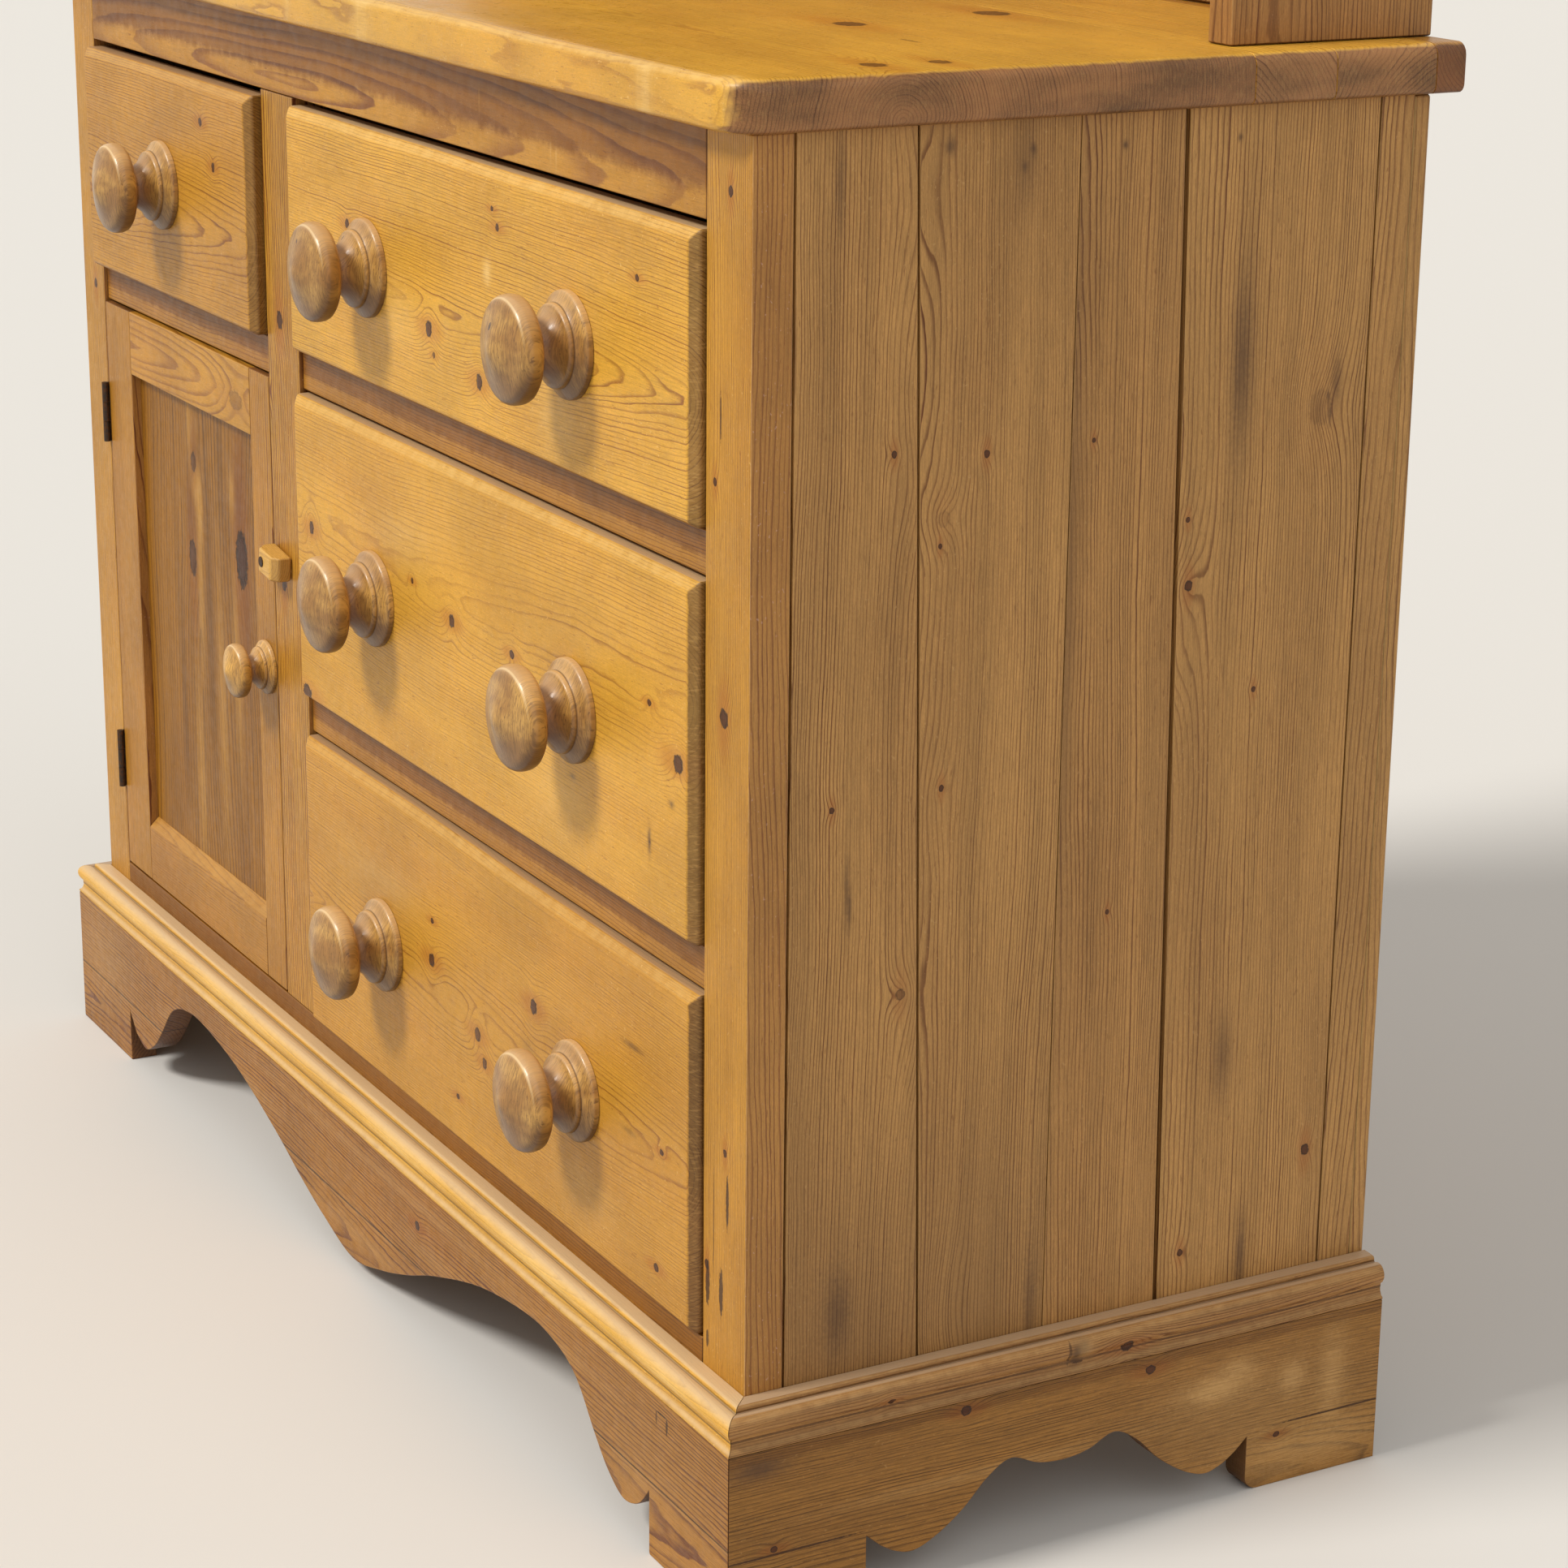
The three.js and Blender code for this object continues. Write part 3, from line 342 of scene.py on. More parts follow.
def pine(name, box, grain, width, tone="front", pith=(0, -40), slant=0.02, ring=1.8, wander=22, seed=0.0,
         knots=(), stains=(), lights=(), cracks=(), shade=1.0, gloss=0.4, contrast=1.0, ends=0.85,
         dust=0.0, dust_from=0.9, sharp=0.0, end_shade=1.0, shadow_high_edge=(0, 0), shadow_low_edge=(0, 0)):
    """Makes the finish of one board.

    Box gives the board's two corners, and grain and width name its axes. A knot is (along, across, size), and may
    add its strength and how much longer than wide it is. A stain, a light or a crack is (along, across, length,
    breadth, strength), and a crack may add its middle and its reach through the board. A painted shadow along the
    high or low edge of the board's width is (reach, strength). Shade darkens the whole board as painted shade, with
    some of the board's own tone, and end_shade darkens its ends, as dark end grain and painted shade both.
    """
    colours = TONES[tone]
    material, tree = start_material(name)
    thickness = next(axis for axis in AXES if axis not in (grain, width))
    half_width = (box[1][AXES[width]] - box[0][AXES[width]]) / 2 / MM
    texture = add(tree, "ShaderNodeTexCoord").outputs
    parts = add(tree, "ShaderNodeSeparateXYZ", {0: from_middle(tree, texture["Object"], box)}).outputs
    order = [parts[AXES[axis]] for axis in (grain, width, thickness)]
    point = add(tree, "ShaderNodeCombineXYZ", dict(enumerate(order))).outputs[0]

    lift, core, rim, halo = 0.0, 0.0, 0.0, 0.0
    for along, across, size, *more in knots:
        strength, stretch = more + KNOT_HABIT[len(more):]
        seen = mark(tree, point, (along, across), size * stretch, size)
        wide, tight = (1.1, 0.4) if strength else (0.3, 0.45)
        lift = plus(tree, lift, times(tree, seen["Near"], size * wide))
        close = sum_of(tree, "POWER", seen["Near"], 5.0)
        lift = plus(tree, lift, times(tree, close, size * tight))
        core = sum_of(tree, "MAXIMUM", core, times(tree, seen["Core"], strength))
        rim = sum_of(tree, "MAXIMUM", rim, times(tree, seen["Rim"], strength))
        halo = sum_of(tree, "MAXIMUM", halo, times(tree, seen["Halo"], strength))
    rings = add(tree, "ShaderNodeGroup", {
        "Board": point, "Pith across": pith[0], "Pith deep": pith[1], "Slant": slant, "Ring": ring,
        "Wander": wander, "Seed": seed, "Lift": lift, "Sharpness": sharp or colours["sharp"],
    }, node_tree=ring_group).outputs

    lines = times(tree, rings["Late"], colours["lines"] * contrast)
    colour = blend(tree, lines, colours["pale"], colours["dark"])
    patch = ramp(tree, rings["Patch"], 0.4, 0.7, 0.0, 0.6)
    colour = blend(tree, patch, colour, blend(tree, 0.55, colour, colours["deep"]))
    spread = colours["fibre"] * contrast
    fibre = ramp(tree, rings["Fibre"], 0.3, 0.7, 1 - spread, 1 + spread * 0.4, "LINEAR")
    colour = tint(tree, colour, grey(tree, fibre))
    speckle = stretched_noise(tree, point, (1.7, 0.7, 0.7), seed + 3.3, detail=1)
    speckle = ramp(tree, speckle, 0.3, 0.7, 0.92, 1.06, "LINEAR")
    colour = tint(tree, colour, grey(tree, speckle))
    bloom = ramp(tree, stretched_noise(tree, point, colours["bloom"], seed + 9.2, detail=4), 0.33, 0.68, 0.86, 1.03)
    colour = tint(tree, colour, grey(tree, bloom))
    colour = blend(tree, times(tree, rings["Fleck"], 0.45), colour, colours["dark"])
    nick = stretched_noise(tree, point, (2.2, 1.4, 1.4), seed + 1.7, detail=1)
    nick = times(tree, ramp(tree, nick, 0.67, 0.75), ramp(tree, rings["Patch"], 0.4, 0.58))
    colour = blend(tree, times(tree, nick, colours["nicks"]), colour, colours["worn"])
    # A light is a pale mark in the worn colour: mostly wear, and on the moulding and the plinth front also a painted
    # highlight or pool of light
    soft_marks = ((stains, (0.3, 0.7, 0.55, 1.25), STAIN), (lights, (0.35, 0.65, 0.4, 1.2), colours["worn"]))
    for marks, through_fibre, hue in soft_marks:
        for along, across, length, breadth, strength in marks:
            seen = mark(tree, point, (along, across), length, breadth)
            streak = times(tree, seen["Soft"], ramp(tree, rings["Fibre"], *through_fibre, "LINEAR"))
            colour = blend(tree, times(tree, streak, strength), colour, hue)
    if knots:
        warmth = tint(tree, colours["pale"], (0.62, 0.42, 0.32, 1.0))
        colour = blend(tree, times(tree, halo, 0.55), colour, warmth)
        colour = blend(tree, times(tree, core, 0.9), colour, KNOT)
        colour = blend(tree, times(tree, rim, 0.8), colour, KNOT_RIM)

    normal = add(tree, "ShaderNodeSeparateXYZ", {0: texture["Normal"]}).outputs
    facing = {axis: sum_of(tree, "ABSOLUTE", normal[AXES[axis]]) for axis in AXES}
    squareness = sum_of(tree, "MAXIMUM", sum_of(tree, "MAXIMUM", facing["x"], facing["y"]), facing["z"])
    rub = add(tree, "ShaderNodeTexNoise", {"Vector": point, "Scale": 0.11, "Detail": 5.0, "Roughness": 0.6}).outputs[0]
    # Faces that turn down count as more end-on, which darkens them as painted shade
    below = ramp(tree, normal[2], -0.4, -0.1, 0.3, 0.0)
    endwise = plus(tree, plus(tree, facing[grain], below), times(tree, rub, 0.5))
    begins, torn_share = PLAIN_END if end_shade == 1 else CHAMFERED_END
    end = ramp(tree, endwise, begins, begins + 0.35, 0.0, ends)
    end = times(tree, end, ramp(tree, facing[grain], 0.05, 0.2))
    ribs = blend(tree, times(tree, rings["Late"], 0.8), colours["end"], KNOT)
    thirst = stretched_noise(tree, point, (200, 60, 20), seed + 6.1, detail=4)
    thirst = plus(tree, thirst, times(tree, rings["Fibre"], 0.7))
    thirst = ramp(tree, thirst, 0.6, 1.1, 1.4 * end_shade, 0.5 * end_shade)
    ribs = tint(tree, ribs, grey(tree, thirst))
    splinter = stretched_noise(tree, point, (4, 1.1, 5), seed + 8.8, detail=2)
    splinter = ramp(tree, splinter, 0.5, 0.66, 0.0, torn_share)
    torn = blend(tree, 0.4, colours["end"], colours["worn"])
    colour = blend(tree, end, colour, blend(tree, splinter, ribs, torn))
    worn = times(tree, ramp(tree, squareness, 0.8, 0.99, 1.0, 0.0), ramp(tree, rub, 0.3, 0.7, 0.3, 1.0))
    # Pale wear is kept to arrises that don't face down, so those facing down stay darker, as painted shade
    worn = times(tree, worn, ramp(tree, normal[2], -0.4, 0.0))
    worn = times(tree, worn, minus(tree, 1.0, end))
    colour = blend(tree, times(tree, worn, 0.5), colour, colours["worn"])
    # The sides of upright front boards take a browner, greyer tint: partly the browner side wood, partly painted shade
    if grain != "x":
        colour = blend(tree, ramp(tree, facing["x"], 0.6, 0.95), colour, tint(tree, colour, colours["flank_tone_and_shade"]))
    # Faces that turn down get painted shade
    under = ramp(tree, normal[2], -0.9, -0.5, 0.6, 0.0)
    colour = blend(tree, under, colour, tint(tree, colour, PAINTED_SHADE))
    # Painted shadows along the high or low edge of a board's width, where a drawer or an overhang would cast one
    for sign, (reach, strength) in ((1, shadow_high_edge), (-1, shadow_low_edge)):
        if strength:
            edge = plus(tree, times(tree, order[1], sign), times(tree, minus(tree, rub, 0.5), reach * 0.3))
            amount = ramp(tree, edge, half_width - reach, half_width - reach * 0.8, 0.0, strength)
            colour = blend(tree, amount, colour, tint(tree, colour, PAINTED_SHADE))
    if dust:
        colour = blend(tree, ramp(tree, normal[2], dust_from, 0.99, 0.0, dust), colour, DUST)
    split = 0.0
    for along, across, length, breadth, strength, *depth in cracks:
        seen = times(tree, mark(tree, point, (along, across), length, breadth)["Core"], strength)
        if depth:
            away = sum_of(tree, "ABSOLUTE", minus(tree, order[2], depth[0]))
            seen = times(tree, seen, ramp(tree, away, depth[1] * 0.8, depth[1], 1.0, 0.0))
        split = sum_of(tree, "MAXIMUM", split, seen)
    if cracks:
        colour = blend(tree, split, colour, CRACK)
    # Painted shade over the whole board for how much light falls on it, with some of the board's own tone
    colour = tint(tree, colour, (*(shade ** power for power in SHADE_POWERS), 1.0))

    height = plus(tree, times(tree, rings["Late"], -0.6), rings["Fibre"])
    height = minus(tree, height, times(tree, sum_of(tree, "MAXIMUM", rim, split), 1.5))
    roughness = ramp(tree, rub, 0.3, 0.7, gloss - 0.06, gloss + 0.12, "LINEAR")
    close_material(tree, colour, roughness, (height, 0.5, 0.35 * MM), {
        "IOR": 1.45, "Specular IOR Level": 0.32, "Coat Weight": colours["coat"], "Coat Roughness": 0.22})
    return material


print("tones:", ", ".join(TONES))

# %% [markdown]
# ## Boards
# A board starts as a cube at its size and place, and its arrises are eased with a Bevel modifier, as a plane and
# a hundred years of dusters ease them. The bevel hardens its normals, so the flat faces stay flat in the light and
# only the corners turn. A slice between two planes is cut with bisect, which keeps one side and closes the cut.

# %% Helpers for boards
def only(piece):
    bpy.ops.object.select_all(action="DESELECT")
    piece.select_set(True)
    bpy.context.view_layer.objects.active = piece


def start_board(name, low, high):
    bpy.ops.object.select_all(action="DESELECT")
    middle = [(a + b) / 2 for a, b in zip(low, high)]
    bpy.ops.mesh.primitive_cube_add(size=1, location=middle)
    board = bpy.context.object
    board.name = name
    board.scale = [b - a for a, b in zip(low, high)]
    bpy.ops.object.transform_apply(location=True, rotation=True, scale=True)
    return board


def ease(piece, width, steps=2, angle=32):
    only(piece)
    bpy.ops.object.modifier_add(type="BEVEL")
    bevel = piece.modifiers[-1]
    bevel.width = width
    bevel.segments = steps
    bevel.limit_method = "ANGLE"
    bevel.angle_limit = math.radians(angle)
    bevel.harden_normals = True
    bpy.ops.object.shade_smooth()
    bpy.ops.object.modifier_apply(modifier=bevel.name)


def cut(piece, place, direction, keep="inner"):
    """Slices a piece with a plane, and keeps the side behind the direction, or the side that it points to."""
    only(piece)
    bpy.ops.object.mode_set(mode="EDIT")
    bpy.ops.mesh.select_all(action="SELECT")
    bpy.ops.mesh.bisect(plane_co=place, plane_no=direction, use_fill=True,
                        clear_outer=keep == "inner", clear_inner=keep == "outer")
    bpy.ops.object.mode_set(mode="OBJECT")


def copy_of(piece, name):
    only(piece)
    bpy.ops.object.duplicate(linked=False)
    copy = bpy.context.object
    copy.name = name
    return copy


def coat_with(piece, material):
    piece.data.materials.clear()
    piece.data.materials.append(material)


def dress(piece, body, material, slot, *nodes):
    coat_with(piece, material)
    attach(piece, body)
    if nodes:
        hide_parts(*nodes)


# %% [markdown]
# ## The front frame
# Two stiles and a muntin stand the height of the case, and the rails are tenoned between them. They are plain
# square timber, so what makes them look real is the direction of the grain, the eased arrises and the dark line
# where one piece meets the next. A loop builds all of them from the boxes of the model.

# %% Build the front frame
FRAME_ARRIS = 1.1 * MM
UPRIGHTS = {
    "stile_left": {"pith": (50, -60), "seed": 1.0, "ring": 2.0, "sharp": 2.4, "shade": 0.865, "knots": [(140, 4, 3)]},
    "stile_right": {"pith": (-90, -70), "seed": 2.0, "ring": 1.5, "sharp": 2.4, "shade": 0.865,
                    "knots": [(59, -3, 4.5), (-265, -20, 2.5), (341, 2, 2.5), (-190, 1, 2), (186, -14, 2)],
                    "cracks": [(222, -8, 16, 0.9, 0.8), (-276, -3, 16, 2.6, 0.85), (-276, -19, 16, 2.6, 0.85),
                               (-218, 4, 18, 1.8, 0.85), (-310, -19, 6, 1.8, 0.8), (-236, -12, 40, 0.7, 0.6)]},
    "muntin": {"pith": (-34, -24), "seed": 3.0, "ring": 2.6, "shade": 0.875, "contrast": 2.0, "sharp": 1.4,
               "knots": [(167, -4, 5), (-15, -10, 4), (115, -30, 3)]},
}
# A rail under a drawer is darker as painted shade and carries a painted shadow along its upper edge, where the proud
# drawer front above would cast one. The top rail's painted shadow stands for the shadow of the top's overhang.
UNDER_A_DRAWER = {"shade": 0.78, "shadow_high_edge": (17, 0.75)}
RAILS = {
    "top_rail": {"pith": (-14, -20), "seed": 4.0, "ring": 6.5, "slant": 0.07, "shade": 0.85, "sharp": 0.9,
                 "contrast": 0.85, "shadow_high_edge": (38, 0.85),
                 "lights": [(200, 6, 0.9, 8, 0.7), (296, -10, 0.8, 7, 0.6), (303, -13, 0.8, 9, 0.6)]},
    "bottom_rail": {"pith": (60, -20), "seed": 5.0, "ring": 2.0, **UNDER_A_DRAWER},
    "rail_left": {"pith": (30, -40), "seed": 6.0, "ring": 1.9, **UNDER_A_DRAWER},
    "rail_upper": {"pith": (50, -30), "seed": 7.0, "ring": 1.9, **UNDER_A_DRAWER},
    "rail_lower": {"pith": (-45, -25), "seed": 8.0, "ring": 1.8, **UNDER_A_DRAWER},
}
for node, facts in {**UPRIGHTS, **RAILS}.items():
    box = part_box(node)
    grain, width = ("z", "x") if node in UPRIGHTS else ("x", "z")
    board = start_board(node + "_board", *box)
    ease(board, FRAME_ARRIS)
    dress(board, "carcass", pine(node + " pine", box, grain, width, **facts), "front_pine", node)
print("front frame:", len(UPRIGHTS) + len(RAILS), "boards")

# %% [markdown]
# ## The top
# The top is one wide board with two narrower ones behind it and a strip along the back, all glued edge to edge.
# Its front corners are rounded in plan and its arrises are worn round. The whole slab is shaped first: the two
# upright edges at the front are bevelled wide, then the rim above and below. The slab is then copied and sliced
# at the glue lines, so that each board can have its own grain and a hairline shows at the joint.

# %% Shape the top
TOP_CORNER = 26 * MM
TOP_UPPER_ARRIS = 7 * MM
TOP_LOWER_ARRIS = 5 * MM
GLUE_LINE = 0.25 * MM
GLUED_ARRIS = 0.4 * MM
top_low, top_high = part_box("top_board")
case_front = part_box("stile_right")[0][1]


def select_parts(piece, kind, wanted):
    """Selects what passes a test and nothing else, and stays in edit mode. Kind is VERT, EDGE or FACE."""
    only(piece)
    bpy.ops.object.mode_set(mode="EDIT")
    bpy.ops.mesh.select_mode(type=kind)
    bpy.ops.mesh.select_all(action="DESELECT")
    bpy.ops.object.mode_set(mode="OBJECT")
    mesh = piece.data
    for part in {"VERT": mesh.vertices, "EDGE": mesh.edges, "FACE": mesh.polygons}[kind]:
        part.select = wanted(part)
    bpy.ops.object.mode_set(mode="EDIT")


def select_edges(piece, wanted):
    """Selects the edges whose two ends pass a test."""
    def ends_pass(edge):
        return wanted(*(piece.data.vertices[index].co for index in edge.vertices))
    select_parts(piece, "EDGE", ends_pass)


slab = start_board("top_slab", top_low, top_high)
near = 0.1 * MM
select_edges(slab, lambda a, b: abs(a.z - b.z) > near and a.y < top_low[1] + near)
bpy.ops.mesh.bevel(offset=TOP_CORNER, segments=8, affect="EDGES")
bpy.ops.object.mode_set(mode="OBJECT")
for height, arris in ((top_high[2], TOP_UPPER_ARRIS), (top_low[2], TOP_LOWER_ARRIS)):
    select_edges(slab, lambda a, b: abs(a.z - height) < near and abs(b.z - height) < near
                 and min(a.y, b.y) < top_high[1] - near)
    bpy.ops.mesh.bevel(offset=arris, segments=4, affect="EDGES")
    bpy.ops.object.mode_set(mode="OBJECT")
print("the slab has", len(slab.data.polygons), "faces")

# %% Slice the top into its boards
TOP_JOINTS = [302 * MM, 356 * MM, 424 * MM]
TOP_FACTS = [
    {"pith": (-61, 0), "seed": 11.0, "ring": 2.0, "wander": 16, "contrast": 0.75, "ends": 1.0, "shade": 0.97,
     "sharp": 2.4,
     "knots": [(-190, 60, 5), (318, 34, 9, 0.9, 1.3), (298, 142, 10, 0.9, 1.3), (504, -58, 7, 0.85, 1.3),
               (506, -19, 6, 0.8, 1.3)],
     "cracks": [(180, 120, 14, 1.8, 0.6), (410, 20, 12, 1.6, 0.6), (551, -62, 7, 0.8, 0.8, 5, 8)],
     "lights": [(-60, -160, 5, 1.0, 0.8), (60, -158, 12, 1.2, 0.7), (440, -158, 9, 1.4, 0.7), (520, -150, 8, 5, 0.5)]},
    {"pith": (-60, -40), "seed": 12.0, "ring": 2.7, "ends": 1.0, "sharp": 2.2},
    {"pith": (50, -30), "seed": 13.0, "ring": 2.7, "ends": 1.0, "sharp": 2.2},
    {"pith": (40, 30), "seed": 14.0, "ring": 2.2, "shade": 0.8, "ends": 1.0},
]
limits = [top_low[1]] + [case_front + joint for joint in TOP_JOINTS] + [top_high[1]]
for index, facts in enumerate(TOP_FACTS):
    front, back = limits[index], limits[index + 1]
    board = copy_of(slab, f"top_board_{index + 1}")
    if index > 0:
        cut(board, (0, front + GLUE_LINE / 2, 0), (0, 1, 0), keep="outer")
    if index < len(TOP_FACTS) - 1:
        cut(board, (0, back - GLUE_LINE / 2, 0), (0, 1, 0))
    ease(board, GLUED_ARRIS, steps=1, angle=60)
    box = ((top_low[0], front, top_low[2]), (top_high[0], back, top_high[2]))
    nodes = ["top_board"] if index == 0 else []
    dress(board, "carcass", pine(board.name + " pine", box, "x", "y", gloss=0.3, **facts), "front_pine", *nodes)
bpy.data.objects.remove(slab)
print("the top is", len(TOP_FACTS), "boards")

# %% [markdown]
# ## The sides
# Each side is made of upright planks that have shrunk apart. One of the joints is still a hairline, two have
# opened by a millimetre or so and one by three, and two of them lean, because the planks taper. A slab the size of
# the side is copied for each plank and sliced by two leaning planes. The left side is built the same way, since
# the photograph shows only the right one. The backs of the case and the rack are plain upright boards.

# %% Build the planks of the sides
PLANK_JOINTS = [(97.7, 112.5, 1.4), (198, 197, 0.5), (266, 276, 2.9), (395, 394, 1.1)]
# The last stain on each of the first two planks is a broad soft patch low down, which makes them darker towards the
# bottom
PLANK_FACTS = [
    {"pith": (76, -30), "seed": 21.0, "ring": 1.8,
     "knots": [(-2, -10, 1.6), (190, 25, 1.7), (-115, 35, 3, 0.6), (-128, 42, 8, 0, 3.4), (322, 38, 9, 0, 3.4),
               (171, 39, 7, 0, 3)],
     "stains": [(335, -10, 28, 3, 0.6), (-300, -2, 26, 9, 0.75), (-50, 0, 20, 1.6, 0.7), (-60, 2, 12, 1.2, 0.8),
                (-330, 10, 130, 60, 0.45)]},
    {"pith": (-62, -24), "seed": 22.0, "ring": 1.85, "slant": 0.01,
     "knots": [(185, -4, 1.9), (137, -32, 1.3), (152, -30, 4, 0.2), (1, -28, 1.6), (-118, -44, 8, 0, 3.4),
               (322, -50, 9, 0, 3.4), (171, -48, 7, 0, 3), (-10, -32, 7, 0, 3), (-320, -20, 12, 0, 2.6)],
     "stains": [(340, 16, 26, 9, 0.45), (-325, 40, 42, 5, 0.65), (350, -31, 4.5, 3.5, 0.8), (346, 20, 3.5, 2, 0.85),
                (337, 15, 3, 2, 0.7), (-320, 0, 120, 60, 0.4)]},
    {"pith": (-90, -60), "seed": 23.0, "ring": 1.9, "knots": [(186, -20, 1.2), (-88, 0, 1.3)],
     "stains": [(120, -33, 260, 5, 0.4), (345, -6, 2.5, 1.8, 0.9)], "shade": 0.97},
    {"pith": (-78, -24), "seed": 24.0, "ring": 2.1, "slant": 0.01,
     "knots": [(97, -52, 2.6), (97, -52, 8, 0, 2), (191, 33, 8, 0.15, 1.3), (135, -54, 1.4), (31, -4, 1.5),
               (-262, 50, 3), (-311, -38, 2), (60, -60, 10, 0, 2.4)],
     "stains": [(221, -22, 50, 8, 0.8), (186, 40, 6, 1.0, 0.9), (197, 38, 4, 0.8, 0.8), (190, 32, 9, 6, 0.3),
                (-190, -14, 26, 7, 0.6), (-325, 6, 30, 4, 0.8), (204, 43, 16, 4, 0.7), (345, -30, 2.5, 1.6, 0.9)]},
    {"pith": (30, -60), "seed": 25.0, "ring": 1.7},
]
PLANK_ARRIS = 0.7 * MM
STILE_GAP = 2.0
# The marks of a plank are measured from the middle between this height and the top of the side
PLANK_FOOT = 105.5 * MM
top_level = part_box("side_right")[1][2]
bottom_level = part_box("moulding_right")[1][2]


def build_side(node):
    slab_low, slab_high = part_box(node)
    edges = [(slab_low[1] / MM - case_front / MM,) * 2 + (STILE_GAP,)] + PLANK_JOINTS
    edges += [(slab_high[1] / MM - case_front / MM,) * 2 + (0,)]
    slab = start_board(node + "_slab", slab_low, slab_high)
    for index, facts in enumerate(PLANK_FACTS):
        plank = copy_of(slab, f"{node}_plank_{index + 1}")
        for (at_top, at_bottom, gap), keep, sign in ((edges[index], "outer", 1), (edges[index + 1], "inner", -1)):
            lean = (at_bottom - at_top) * MM / (bottom_level - top_level)
            place = (0, case_front + at_top * MM + sign * gap * MM / 2, top_level)
            cut(plank, place, (0, 1, -lean), keep=keep)
        ease(plank, PLANK_ARRIS)
        low = (slab_low[0], case_front + edges[index][0] * MM, PLANK_FOOT)
        high = (slab_high[0], case_front + edges[index + 1][0] * MM, top_level)
        material = pine(plank.name + " pine", (low, high), "z", "y", tone="side", gloss=0.46, **facts)
        dress(plank, "carcass", material, "side_pine", *([node] if index == 0 else []))
    bpy.data.objects.remove(slab)


for node in ("side_right", "side_left"):
    build_side(node)
print("each side has", len(PLANK_FACTS), "planks")

# %% Board the backs
BACKS = {"case_back": (7, 1.0), "rack_back": (8, 1.05)}
BACK_GAP = 0.3 * MM
BACK_V = 2.2 * MM
BACK_PITHS = [(-30, -60), (24, -50), (60, -70), (6, -44), (-55, -56), (35, -48), (-14, -54), (45, -80)]


def board_back(node, count, shade):
    """Lays upright boards side by side over the whole of a back, with a V where two of them meet."""
    low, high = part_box(node)
    pitch = (high[0] - low[0]) / count
    for index in range(count):
        left = low[0] + index * pitch + BACK_GAP / 2
        box = ((left, low[1], low[2]), (left + pitch - BACK_GAP, high[1], high[2]))
        plank = start_board(f"{node}_plank_{index + 1}", *box)
        ease(plank, BACK_V, steps=1)
        material = pine(plank.name + " pine", box, "z", "x", tone="side", seed=110.0 + index + 3 * count,
                        pith=BACK_PITHS[index], ring=2.3, shade=shade,
                        knots=[(-300 + 90 * index, 12, 5), (260 - 70 * index, -18, 4)])
        dress(plank, "carcass", material, "side_pine", *([node] if index == 0 else []))


for node, (count, shade) in BACKS.items():
    board_back(node, count, shade)
print("boards in the two backs:", sum(count for count, shade in BACKS.values()))

# %% [markdown]
# ## Drawer fronts
# A drawer front is a board with a wide chamfer round its face, which leaves a low shoulder at the rim. Inset does
# this in one step: it draws a smaller face inside the front face and pushes it forward. The lower edge of that
# face is then moved down, because the chamfer there is narrower and steeper. The long chamfers have worn pale, and
# the ones at the ends cut across the grain, so they show as dark ribs, darkened further by painted shade. A thin
# painted shadow runs along the lower edge.

# %% Build the drawer fronts
CHAMFER_WIDTH = 6 * MM
CHAMFER_DEPTH = 4.5 * MM
LOWER_CHAMFER_WIDTH = 2.8 * MM
DRAWER_ARRIS = 1.7 * MM
